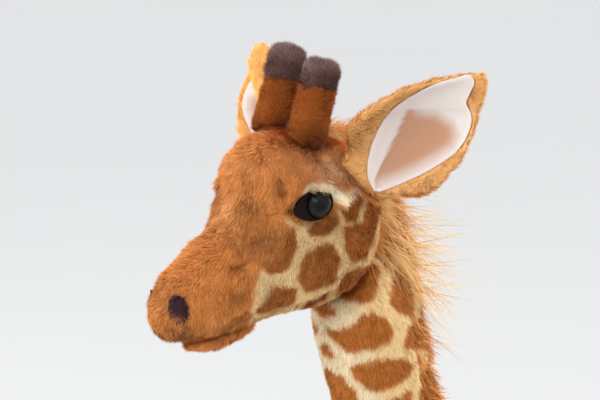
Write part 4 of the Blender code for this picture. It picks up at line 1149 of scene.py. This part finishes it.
class GIRAFFE_OT_head(bpy.types.Operator):
    """Head and lower jaw: brows, creases, mouth and cheeks under a combed pile, with pale brow tufts"""

    bl_idname = "giraffe.head"
    bl_label = "Head and jaw"

    def execute(self, context):
        coat = context.scene.giraffe_coat
        finish = coat_finish(context)
        bm = copy_of("head", "left_nostril", "right_nostril")
        seats = [axes_of(side + "_eye_rim") for side, _ in SIDES]
        for middle, out, _ in seats:
            plug(bm, middle, out, *EYE_SOCKET)
            plug(bm, middle, out, *EYE_BORE)
        skin = stuffed("head_skin", bm, 0.0026, 0.0002, passes=4)
        self.sculpt(skin, seats)
        mark_head(skin, coat)
        points = points_of(skin)
        bare = np.ones(len(points))
        for middle, out, forward in seats:
            bare *= smooth(self.from_rim(points, middle, out, forward), -0.0012, 0.0002)
        nostrils = distance_to(points, "left_nostril", "right_nostril")
        bare *= smooth(nostrils, 0.0, 0.0008)
        closed_in = smooth(distance_to(points, "neck", "left_horn", "right_horn"), 0.0, 0.0008)
        spots = on_picture(points)
        cheek = smooth(line_distance(spots, FACE_CREAM, closed=True), -6, 10)
        reach = coat.face_pile * (0.75 + 0.25 * smooth(spots[:, 0], 150, 300)) * (1 - 0.42 * cheek)
        for middle, out, forward in seats:
            reach = reach * (0.40 + 0.60 * smooth(self.from_rim(points, middle, out, forward), 0.0, 0.012))
        side_way = 0.35 * np.sign(points[:, 0]) * smooth(np.abs(points[:, 0]), 0, 0.01)
        flow = shared_way(side_way, -0.55, -0.75)
        whole = bare * closed_in
        lay_pile(skin, flow, 0.46 + 0.22 * cheek, reach, whole, swirl=0.25, seed=17)
        dress(skin, finish, "giraffe", ["head"])
        for side, way in SIDES:
            mark(skin, "thick", whole * on_side(points, way))
            grow(f"head_{side}_pile", skin, "head", finish, "giraffe", 51 + way)
        tuft = smooth(values_of(skin, "pale"), 0.74, 0.95) * bare
        lay_pile(skin, shared_way(0.6 * np.sign(points[:, 0]), 0.55, -0.5), 0.40, 0.0062, tuft, seed=19)
        for side, way in SIDES:
            mark(skin, "thick", tuft * (way * points[:, 0] > 0))
            grow(f"{side}_brow_tuft", skin, "brow", finish, "giraffe", 71 + way)
        self.jaw(context, finish)
        return {"FINISHED"}

    def from_rim(self, points, middle, out, forward):
        """How far points lie outside an eye's almond rim in its plane, and 1 on the head's other side."""
        forward = forward * np.sign(-forward[1])
        up = np.cross(out, forward)
        offset = points - middle
        x, y = offset @ forward, offset @ up
        ellipse = np.sqrt((x / RIM_LENGTH) ** 2 + (y / RIM_HEIGHT) ** 2)
        return np.where(np.abs(offset @ out) < RIM_DEPTH, (ellipse - 1) * RIM_HEIGHT, 1.0)

    def sculpt(self, skin, seats):
        """Presses the creases and eye seats into the face and fills out its brows, nose and chin."""
        points, normals = points_of(skin), normals_of(skin)
        spots = on_picture(points)
        facing = facing_picture(normals)
        moved = np.full(len(points), -0.0013)
        for middle, out, forward in seats:
            moved *= smooth(self.from_rim(points, middle, out, forward), 0.001, 0.008)
        for line, width, depth in FULLNESS:
            moved += depth * beside(spots, line, width) * (0.4 + 0.6 * facing)
        for line, width, depth in CREASES:
            moved -= depth * beside(spots, line, width) * facing
        points = points + normals * moved[:, None]
        for middle, out, forward in seats:
            height = (points - middle) @ out
            away = self.from_rim(points, middle, out, forward)
            hold = 1 - smooth(away, -0.0005, 0.0022)
            sunk = np.minimum(height, -0.0010)
            points = points + out * ((sunk - height) * hold)[:, None]
        move_to(skin, points)

    def jaw(self, context, finish):
        coat = context.scene.giraffe_coat
        skin = stuffed("lower_jaw_skin", copy_of("lower_jaw"), 0.0020, -0.0002, passes=4)
        points = points_of(skin)
        rear = smooth(points[:, 1], points[:, 1].max() - 0.014, points[:, 1].max())
        points += np.outer(rear, (0, 0.0090, 0.0012))
        points[:, 0] *= 1 - 0.2 * rear
        move_to(skin, points)
        for name in ("patch", "cream", "pale"):
            mark(skin, name, 0)
        # Painted shade under the chin, from the face's painted shades
        mark(skin, "dark", spotted(points, FACE_PAINTED_SHADES) * 0.8)
        lay_pile(skin, (0, -0.5, -0.3), 0.50, coat.face_pile * 0.8, seed=23)
        dress(skin, finish, "giraffe", ["lower_jaw"])
        grow("lower_jaw_pile", skin, "jaw", finish, "giraffe", 54)


class GIRAFFE_OT_horns(bpy.types.Operator):
    """Horns: short upright pile on the shafts and dark fuzzy ends"""

    bl_idname = "giraffe.horns"
    bl_label = "Horns"

    def execute(self, context):
        settings = context.scene.giraffe_horns
        shaft = one_colour_plush("horn plush", settings.shaft, tone(214, 140, 78), tone(80, 36, 14))
        tip = one_colour_plush("horn tip plush", settings.tip, tone(168, 140, 134))
        for side, _ in SIDES:
            node = side + "_horn"
            skin = stuffed(node + "_skin", copy_of(node), 0.0018, 0.0024, passes=3)
            points = points_of(skin)
            low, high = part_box(node)
            foot = 1 - smooth(points[:, 2], low.z + 0.004, low.z + 0.016)
            mark(skin, "dark", np.maximum(foot * 0.6, 0.5 * smooth(points[:, 2], high.z - 0.006, high.z)))
            lay_pile(skin, (0, 0.2, 1), 0.95, settings.pile, seed=25)
            dress(skin, shaft, "giraffe", [node])
            grow(node + "_pile", skin, "horn", shaft, "giraffe", 81, jitter=0.5, soften=0.5)
            cap = stuffed(node + "_tip_skin", copy_of(node + "_tip"), 0.0016, 0.0010, passes=2)
            points = self.squared(points_of(cap), points_of(skin), HORN_DROPS[side])
            bottom, top = points[:, 2].min(), points[:, 2].max()
            move_to(cap, points)
            mark(cap, "light", smooth(points[:, 2], (bottom + top) / 2, top) * 0.55)
            upright = smooth(normals_of(cap)[:, 2], 0.2, 0.9)
            reach = settings.pile * (1.1 + 0.25 * upright)
            lay_pile(cap, (0, 0.2, 1), 0.80 + 0.5 * upright, reach, swirl=0.6, seed=26)
            dress(cap, tip, "giraffe", [node + "_tip"])
            name = node + "_tip_pile"
            grow(name, cap, "horn tip", tip, "giraffe", 83, jitter=0.55, soften=0.4)
        return {"FINISHED"}

    def squared(self, end, shaft, drop):
        """A horn's end as wide as its shaft, drawn down over the shaft's edge and lowered at its top."""
        top = shaft[:, 2].max()
        rim, waist = shaft[shaft[:, 2] > top - 0.006], shaft[np.abs(shaft[:, 2] - top + 0.018) < 0.003]
        middle = rim.mean(0)
        axis = unit(middle - waist.mean(0))
        waist = waist - waist.mean(0)
        wide = np.linalg.norm(waist - np.outer(waist @ axis, axis), axis=1).mean()
        height = (end - middle) @ axis
        aside = end - middle - np.outer(height, axis)
        across = np.linalg.norm(aside, axis=1)
        held = np.minimum(across, wide * HORN_END_WIDTH) / np.maximum(across, 1e-9)
        share = (height - height.min()) / (height.max() - height.min())
        height = height - drop * share - 0.0030 * (1 - smooth(share, 0.0, 0.5))
        return middle + np.outer(height, axis) + aside * held[:, None]


class GIRAFFE_OT_ears(bpy.types.Operator):
    """Ears: plush backs and rims round a satin lining with a pressed fold"""

    bl_idname = "giraffe.ears"
    bl_label = "Ears"

    def execute(self, context):
        settings = context.scene.giraffe_ears
        plush_finish = one_colour_plush("ear plush", settings.plush, tone(255, 226, 180), tone(120, 62, 22))
        satin = self.satin(settings)
        ears = {}
        for side, way in SIDES:
            node = side + "_ear"
            skin = stuffed(node + "_skin", copy_of(node), 0.0013, 0.0002, passes=3, levels=0)
            root, ways = ear_root(side), ear_ways(side, way)
            self.draw_out(skin, ways[0], EAR_POINTS[side])
            self.narrow_root(skin, root, ways)
            ears[side] = (skin, root, ways)
        spots = self.drawn_lining()
        skin, root, ways = ears["left"]
        shares = (self.cast(spots, skin) - root) @ ways.T
        for side, (skin, root, ways) in ears.items():
            node = side + "_ear"
            longer, wider = LINING_STRETCH[side]
            fitted = shares * (longer, 1, 1)
            fitted[..., 1] *= np.where(shares[..., 1] > 0, wider, 1)
            lining = self.lining(node + "_lining_satin", root + fitted @ ways, ways[2], spots, satin)
            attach(lining, node + "_body")
            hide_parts(node + "_lining")
            self.tuck_under(skin, tree_round(lining), ways[2])
            if any(EAR_CUPS[side]):
                for piece in (skin, lining):
                    self.cup(piece, root, ways, *np.radians(EAR_CUPS[side]))
            points = points_of(skin)
            away = distances(points, tree_round(lining))
            open_air = smooth(distance_to(points, "head"), 0.0002, 0.0012)
            reach = settings.pile * (0.45 + 0.55 * smooth(away, 0.0004, 0.0040))
            lay_pile(skin, ways[0], 0.38, reach, smooth(away, 0.0007, 0.0012) * open_air, swirl=0.25, seed=27)
            # Painted light on the ear's plush, drawn towards its pale tip colour
            mark(skin, "light", EAR_PAINTED_LIGHTS[side] * (0.75 + 0.5 * ripple(points, 0.012, 28).clip(0, 1)))
            dress(skin, plush_finish, node + "_body", [node])
            grow(node + "_pile", skin, "ear", plush_finish, node + "_body", 91, jitter=0.3, sway=0.4)
        return {"FINISHED"}

    def draw_out(self, obj, along, reach):
        """Draws an ear's round end out to a point."""
        points = points_of(obj)
        height = points @ along
        top = height.max()
        share = smooth(height, top - 0.016, top)
        axis = points[height > top - 0.002].mean(0)
        aside = points - axis - np.outer((points - axis) @ along, along)
        move_to(obj, points + np.outer(share**2 * reach, along) - aside * (0.25 * share)[:, None])

    def narrow_root(self, obj, root, ways):
        """Draws in an ear where it is sewn to the head."""
        local = (points_of(obj) - root) @ ways.T
        local[:, 1] *= 1 - 0.34 * (1 - smooth(local[:, 0], 0.000, 0.018)) * (local[:, 1] < 0)
        move_to(obj, root + local @ ways)

    def cup(self, obj, root, ways, front, back):
        """Bends the two halves of an ear inwards, so that its front shows its plush from the side."""
        along, across, out = ((points_of(obj) - root) @ ways.T).T
        grown = smooth(along, 0.002, 0.020)
        for half, turn in ((-1, front), (1, back)):
            past = np.maximum(half * across - CUP_START, 0)
            bend = np.minimum(past / CUP_RADIUS, turn * grown)
            straight = past - CUP_RADIUS * bend
            reach = CUP_RADIUS * np.sin(bend) + straight * np.cos(bend) - out * np.sin(bend)
            rise = CUP_RADIUS * (1 - np.cos(bend)) + straight * np.sin(bend) + out * np.cos(bend)
            across = np.where(past > 0, half * (CUP_START + reach), across)
            out = np.where(past > 0, rise, out)
        move_to(obj, root + np.column_stack((along, across, out)) @ ways)

    def drawn_lining(self):
        """Where the lining's points lie in the picture: rows from root to tip, ruled between its sides."""
        front, back = evenly(LINING_FRONT, LINING_ROWS), evenly(LINING_BACK, LINING_ROWS)
        share = np.linspace(0, 1, LINING_COLUMNS)[None, :, None]
        return front[:, None] * (1 - share) + back[:, None] * share

    def cast(self, spots, skin):
        """The places that the camera sees there on the open side, evened out and clear of the plush."""
        tree = tree_round(skin)
        right, up, back = view_axes()
        across = (spots[..., :1] - PICTURE_WIDTH / 2) / FOCAL
        rise = (PICTURE_HEIGHT / 2 - spots[..., 1:]) / FOCAL
        rays = unit(across * right + rise * up - back)
        hits = [tree.ray_cast(Vector(CAMERA_PLACE), Vector(ray))[3] for ray in rays.reshape(-1, 3)]
        depth = np.array([np.nan if hit is None else hit for hit in hits]).reshape(spots.shape[:2])
        for row in depth:
            met = np.isfinite(row)
            if met.any():
                row[:] = np.interp(np.arange(len(row)), np.flatnonzero(met), row[met])
        met = np.isfinite(depth[:, 0])
        rows = np.arange(len(depth))
        depth = np.array([np.interp(rows, rows[met], column[met]) for column in depth.T]).T
        for _ in range(4):
            depth = np.minimum(depth, evened(depth, 4))
        depth = evened(depth, 3) - LINING_CLEARANCE
        return np.array(CAMERA_PLACE) + rays * depth[..., None]

    def lining(self, name, places, out, spots, satin):
        """The satin sheet through these places, with its fold raised, its painted shade and glow and its edge
        marked.
        """
        rows, columns = places.shape[:2]
        bm = bmesh.new()
        bmesh.ops.create_grid(bm, x_segments=columns - 1, y_segments=rows - 1, size=0.5)
        shares = [(vert.co.y + 0.5, vert.co.x + 0.5) for vert in bm.verts]
        grid = [(round(along * (rows - 1)), round(across * (columns - 1))) for along, across in shares]
        drawn = np.array([spots[place] for place in grid])
        fold_x = np.interp(drawn[:, 1], *np.array(LINING_FOLD, float).T[::-1])
        in_front = smooth(fold_x - drawn[:, 0], -0.6, 0.6)
        doubled = np.maximum(in_front, smooth(LINING_RAISED - drawn[:, 1], -1, 1))
        for vert, place, raised in zip(bm.verts, grid, doubled):
            vert.co = places[place] + out * (raised * LINING_FOLD_RISE)
        bm.normal_update()
        if sum((face.normal for face in bm.faces), Vector()).dot(Vector(out)) < 0:
            bmesh.ops.reverse_faces(bm, faces=bm.faces)
        area = sum(face.calc_area() for face in bm.faces)
        obj = place_piece(name, bm)
        # Painted shade and glow inside the drawn outline, fading at its edges
        glow = smooth(line_distance(drawn, LINING_PAINTED_GLOW, closed=True), -1.0, 1.0)
        glow = glow * (0.15 + 0.85 * smooth(line_distance(drawn, LINING_FADE), 0, 16))
        mark(obj, "glow", glow)
        border = np.array([min(row, rows - 1 - row, column, columns - 1 - column) for row, column in grid])
        mark(obj, "edge", 1 - smooth(border, 0, 2.5))
        thick = obj.modifiers.new("thickness", "SOLIDIFY")
        thick.thickness = LINING_THICKNESS
        thick.offset = -1
        finer = obj.modifiers.new("finer", "SUBSURF")
        finer.levels = finer.render_levels = 1
        apply_modifiers(obj)
        obj.data.shade_smooth()
        obj.data.materials.append(satin)
        return obj

    def tuck_under(self, skin, tree, out):
        """Presses the plush back where it would stand through the lining."""
        points = points_of(skin)
        for index, point in enumerate(points):
            spot, _, _, away = tree.find_nearest(Vector(point))
            height = float((point - np.array(spot)) @ out)
            aside = math.sqrt(max(away**2 - height**2, 0))
            if abs(height) < 0.004 and aside < 0.0006 and height > -LINING_CLEARANCE:
                points[index] = point - out * (height + LINING_CLEARANCE)
        move_to(skin, points)

    def satin(self, settings):
        made = Finish("ear satin", Roughness=0.5, Sheen_Weight=0.35, Sheen_Roughness=0.3)
        cloud = made.mix(made.noise(60, 2) * 0.5, settings.lining, tone(206, 198, 196))
        # Painted shade and glow: a warm tan where the plush behind the satin would shine through
        glowing = made.mix(made.attribute("glow"), cloud, settings.painted_shade_and_glow)
        made.set(Base_Color=made.mix(made.attribute("edge") * 0.35, glowing, tone(228, 218, 218)))
        bands = {"wave_type": "BANDS", "bands_direction": "DIAGONAL"}
        inputs = {"Vector": made.place(), "Scale": 900.0, "Distortion": 1.5}
        weave = made.add("ShaderNodeTexWave", bands, inputs)
        made.bump(weave * 0.2 + made.noise(110, 2), 0.30, 0.0012)
        return made.material


class GIRAFFE_OT_eyes(bpy.types.Operator):
    """Eyes: glossy domes over dark almond rims"""

    bl_idname = "giraffe.eyes"
    bl_label = "Eyes"

    def execute(self, context):
        settings = context.scene.giraffe_eyes
        for side, _ in SIDES:
            assign(side + "_eye", self.plastic(side, settings))
        rim = Finish("rim felt", Roughness=0.9, Specular_IOR_Level=0.1)
        rim.set(Base_Color=rim.mix(rim.noise(700, 3), settings.rim, tone(20, 12, 12)))
        rim.bump(rim.noise(1500, 3), 0.5, 0.0006)
        for side, _ in SIDES:
            assign(side + "_eye_rim", rim.material)
        return {"FINISHED"}

    def plastic(self, side, settings):
        """Dark glossy plastic with a paler ring round its pupil."""
        low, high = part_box(side + "_eye")
        rim_middle, out, _ = axes_of(side + "_eye_rim")
        reach = max(abs(high.x), abs(low.x)) - abs(rim_middle[0])
        apex = rim_middle + out * abs(reach / out[0])
        made = Finish(side + " eye plastic", Roughness=0.04, Specular_IOR_Level=0.20)
        inputs = {0: made.place(), 1: tuple(apex)}
        away = made.add("ShaderNodeVectorMath", {"operation": "DISTANCE"}, inputs, "Value")
        ring = made.ramp(away * (1 / EYE_REACH), ((0.30, 0), (0.42, 1), (0.72, 0.8), (0.95, 0)))
        streaks = made.noise(900, 3)
        made.set(Base_Color=made.mix(ring, settings.dome, made.mix(streaks, settings.iris, settings.dome)))
        return made.material


class GIRAFFE_OT_nostrils(bpy.types.Operator):
    """Nostrils: small ovals of dark fur"""

    bl_idname = "giraffe.nostrils"
    bl_label = "Nostrils"

    def execute(self, context):
        settings = context.scene.giraffe_eyes
        finish = one_colour_plush("nostril plush", settings.nostril, tone(130, 96, 92))
        for side, _ in SIDES:
            node = side + "_nostril"
            skin = stuffed(node + "_skin", copy_of(node), 0.0008, NOSTRIL_SINKS[side], passes=2)
            lay_pile(skin, (0, -0.4, -0.8), 0.85, NOSTRIL_PILE - NOSTRIL_SINKS[side], swirl=0.6, seed=29)
            dress(skin, finish, "giraffe", [node])
            grow(node + "_pile", skin, "nostril", finish, "giraffe", 95, jitter=0.5)
        return {"FINISHED"}


class GIRAFFE_OT_mane(bpy.types.Operator):
    """Mane: long loose hair down the nape"""

    bl_idname = "giraffe.mane"
    bl_label = "Mane"

    def execute(self, context):
        settings = context.scene.giraffe_mane
        coat = context.scene.giraffe_coat
        finish = one_colour_plush("mane hair", settings.hair, tone(255, 222, 160))
        skin = stuffed("mane_skin", copy_of("mane"), 0.0022, 0.0010, passes=3)
        points = points_of(skin)
        flank = smooth(np.abs(normals_of(skin)[:, 0]), 0.50, 0.80)
        open_air = smooth(distance_to(points, "neck", "head", "body"), 0.0002, 0.0012)
        low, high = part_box("mane")
        height = (points[:, 2] - low.z) / (high.z - low.z)
        reach = settings.reach * (0.58 + 0.34 * smooth(height, 0.55, 0.95))
        lay_pile(skin, (0, 0.75, -0.6), 0.52, reach, open_air * (1 - 0.94 * flank), swirl=0.4, seed=33)
        dress(skin, coat_finish(context), "giraffe", ["mane"])
        grow("mane_hair", skin, "mane", finish, "giraffe", 101, jitter=0.4)
        mark(skin, "thick", open_air * smooth(height, 0.45, 0.7) * (1 - smooth(height, 0.80, 0.88)))
        mark(skin, "reach", settings.reach * 2.5)
        mark(skin, "light", 0.6)
        grow("mane_wisps", skin, "mane wisps", finish, "giraffe", 103, jitter=0.6, sway=1.2)
        mark(skin, "light", 0)
        mark_neck(skin, coat)
        lay_pile(skin, (0, 0.12, -1), 0.42, coat.neck_pile, open_air * flank, seed=34)
        grow("mane_side_pile", skin, "mane side", coat_finish(context), "giraffe", 99)
        return {"FINISHED"}


class GIRAFFE_OT_tail(bpy.types.Operator):
    """Tail: a thin plush tail and its long dark tuft"""

    bl_idname = "giraffe.tail"
    bl_label = "Tail"

    def execute(self, context):
        settings = context.scene.giraffe_mane
        coat = context.scene.giraffe_coat
        finish = one_colour_plush("tail plush", coat.patch, coat.tip)
        hair = one_colour_plush("tail hair", settings.tail, tone(140, 92, 66))
        skin = stuffed("tail_skin", copy_of("tail"), 0.0016, 0.0002, passes=2)
        points = points_of(skin)
        open_air = smooth(distance_to(points, "body"), 0.0004, 0.0030)
        lay_pile(skin, (0, 0.1, -1), 0.45, 0.0030, open_air, seed=35)
        dress(skin, finish, "tail_body", ["tail"])
        grow("tail_pile", skin, "tail", finish, "tail_body", 111)
        tuft = stuffed("tail_tuft_skin", copy_of("tail_tuft"), 0.0020, 0.0030, passes=3)
        lay_pile(tuft, (0, 0.05, -1), 0.22, 0.0180, swirl=0.3, seed=37)
        dress(tuft, hair, "tail_body", ["tail_tuft"])
        grow("tail_tuft_hair", tuft, "tail tuft", hair, "tail_body", 113)
        return {"FINISHED"}


class GIRAFFE_OT_hardware(bpy.types.Operator):
    """Hidden hardware: steel stiffeners and the eyes' lock washers"""

    bl_idname = "giraffe.hardware"
    bl_label = "Stiffeners and washers"

    def execute(self, context):
        steel = Finish("drawn steel", Metallic=1.0)
        steel.set(Base_Color=steel.mix(steel.noise(300, 3), tone(176, 178, 182), tone(140, 142, 148)))
        steel.set(Roughness=0.28 + steel.noise(900, 2) * 0.2)
        plastic = Finish("washer plastic")
        plastic.set(Base_Color=plastic.mix(plastic.noise(200, 2), tone(224, 224, 220), tone(206, 206, 200)))
        plastic.set(Roughness=0.38 + plastic.noise(600, 2) * 0.12)
        for node in ("neck_wire", "front_leg_wire", "rear_leg_wire"):
            assign(node, steel.material)
        for side, _ in SIDES:
            assign(side + "_eye_washer", plastic.material)
        return {"FINISHED"}


class GIRAFFE_OT_stage(bpy.types.Operator):
    """Stage: a pale floor, soft lamps and the camera at the photograph's angle"""

    bl_idname = "giraffe.stage"
    bl_label = "Stage"

    def execute(self, context):
        settings = context.scene.giraffe_stage
        context.scene.view_settings.view_transform = "Standard"
        bm = bmesh.new()
        bmesh.ops.create_grid(bm, x_segments=1, y_segments=1, size=FLOOR_SIZE)
        floor = place_piece("floor", bm)
        floor.data.materials.append(self.paint(settings))
        self.world(context, settings)
        for name, (place, size, source, share, tint) in LAMPS.items():
            self.lamp(name, place, size, getattr(settings, source) * share, tint)
        data = bpy.data.cameras.new("camera")
        data.lens = CAMERA_LENS
        data.sensor_width = SENSOR_WIDTH
        data.clip_start, data.clip_end = 0.05, 60
        camera = bpy.data.objects.new("camera", data)
        right, up, back = view_axes()
        turn = Matrix((right, up, back)).transposed().to_4x4()
        camera.matrix_world = Matrix.Translation(CAMERA_PLACE) @ turn
        context.scene.collection.objects.link(camera)
        context.scene.camera = camera
        return {"FINISHED"}

    def paint(self, settings):
        """Pale floor paint that shows itself brighter than it lights the toy, and keeps the toy's shadow."""
        made = Finish("floor paint", Roughness=0.8)
        made.set(Base_Color=made.mix(made.noise(1.2, 2), settings.floor, tone(218, 216, 214)))
        shown = made.add("ShaderNodeEmission", {}, {"Color": settings.sky, "Strength": 1.0})
        rays = made.add("ShaderNodeLightPath")
        kinds = ("Is Camera Ray", "Is Glossy Ray", "Is Transmission Ray")
        direct, glossy, through = (Signal(made, rays.socket.node.outputs[kind]) for kind in kinds)
        share = (direct + glossy + through).clamped() * 0.6
        surface = Signal(made, made.surface.outputs[0])
        mixed = made.add("ShaderNodeMixShader", {}, {0: share, 1: surface, 2: shown})
        made.tree.links.new(mixed.socket, made.tree.nodes["Material Output"].inputs["Surface"])
        return made.material

    def lamp(self, name, place, size, power, tint):
        data = bpy.data.lights.new(name, "AREA")
        data.shape = "DISK"
        data.size = size
        data.energy = power
        data.color = tint
        lamp = bpy.data.objects.new(name, data)
        aim = Vector(LAMP_AIM) - Vector(place)
        lamp.matrix_world = Matrix.Translation(place) @ aim.to_track_quat("-Z", "Y").to_matrix().to_4x4()
        bpy.context.scene.collection.objects.link(lamp)

    def world(self, context, settings):
        world = bpy.data.worlds.new("studio")
        world.use_nodes = True
        context.scene.world = world
        graph = Graph(world.node_tree)
        plain = world.node_tree.nodes["Background"]
        plain.inputs["Color"].default_value = (*tone(250, 250, 252), 1)
        plain.inputs["Strength"].default_value = settings.light
        seen = graph.add("ShaderNodeBackground", {}, {"Color": settings.sky, "Strength": 1.0})
        rays = graph.add("ShaderNodeLightPath", out="Is Camera Ray")
        mixed = graph.add("ShaderNodeMixShader", {}, {0: rays, 1: Signal(graph, plain.outputs[0]), 2: seen})
        graph.tree.links.new(mixed.socket, world.node_tree.nodes["World Output"].inputs["Surface"])


STEPS = (
    GIRAFFE_OT_stage,
    GIRAFFE_OT_body,
    GIRAFFE_OT_hooves,
    GIRAFFE_OT_neck,
    GIRAFFE_OT_head,
    GIRAFFE_OT_horns,
    GIRAFFE_OT_ears,
    GIRAFFE_OT_eyes,
    GIRAFFE_OT_nostrils,
    GIRAFFE_OT_mane,
    GIRAFFE_OT_tail,
    GIRAFFE_OT_hardware,
)


class GIRAFFE_PT_panel(bpy.types.Panel):
    """The giraffe's settings and the steps that build it"""

    bl_idname = "GIRAFFE_PT_panel"
    bl_label = "Plush giraffe"
    bl_space_type = "VIEW_3D"
    bl_region_type = "UI"
    bl_category = "Giraffe"

    def draw(self, context):
        layout = self.layout
        for step in STEPS:
            layout.operator(step.bl_idname)
        for group in GROUPS:
            settings = getattr(context.scene, group)
            box = layout.box()
            for name in settings.__annotations__:
                box.prop(settings, name)


CLASSES = (*GROUPS.values(), *STEPS, GIRAFFE_PT_panel)


def register():
    for cls in CLASSES:
        bpy.utils.register_class(cls)
    for name, group in GROUPS.items():
        setattr(bpy.types.Scene, name, PointerProperty(type=group))


def unregister():
    for name in GROUPS:
        delattr(bpy.types.Scene, name)
    for cls in reversed(CLASSES):
        bpy.utils.unregister_class(cls)


def main():
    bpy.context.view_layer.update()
    register()
    for step in STEPS:
        group, name = step.bl_idname.split(".")
        getattr(getattr(bpy.ops, group), name)()
    for name in STRANDS:
        bpy.data.objects.remove(bpy.data.objects[name])


if __name__ == "__main__":
    main()
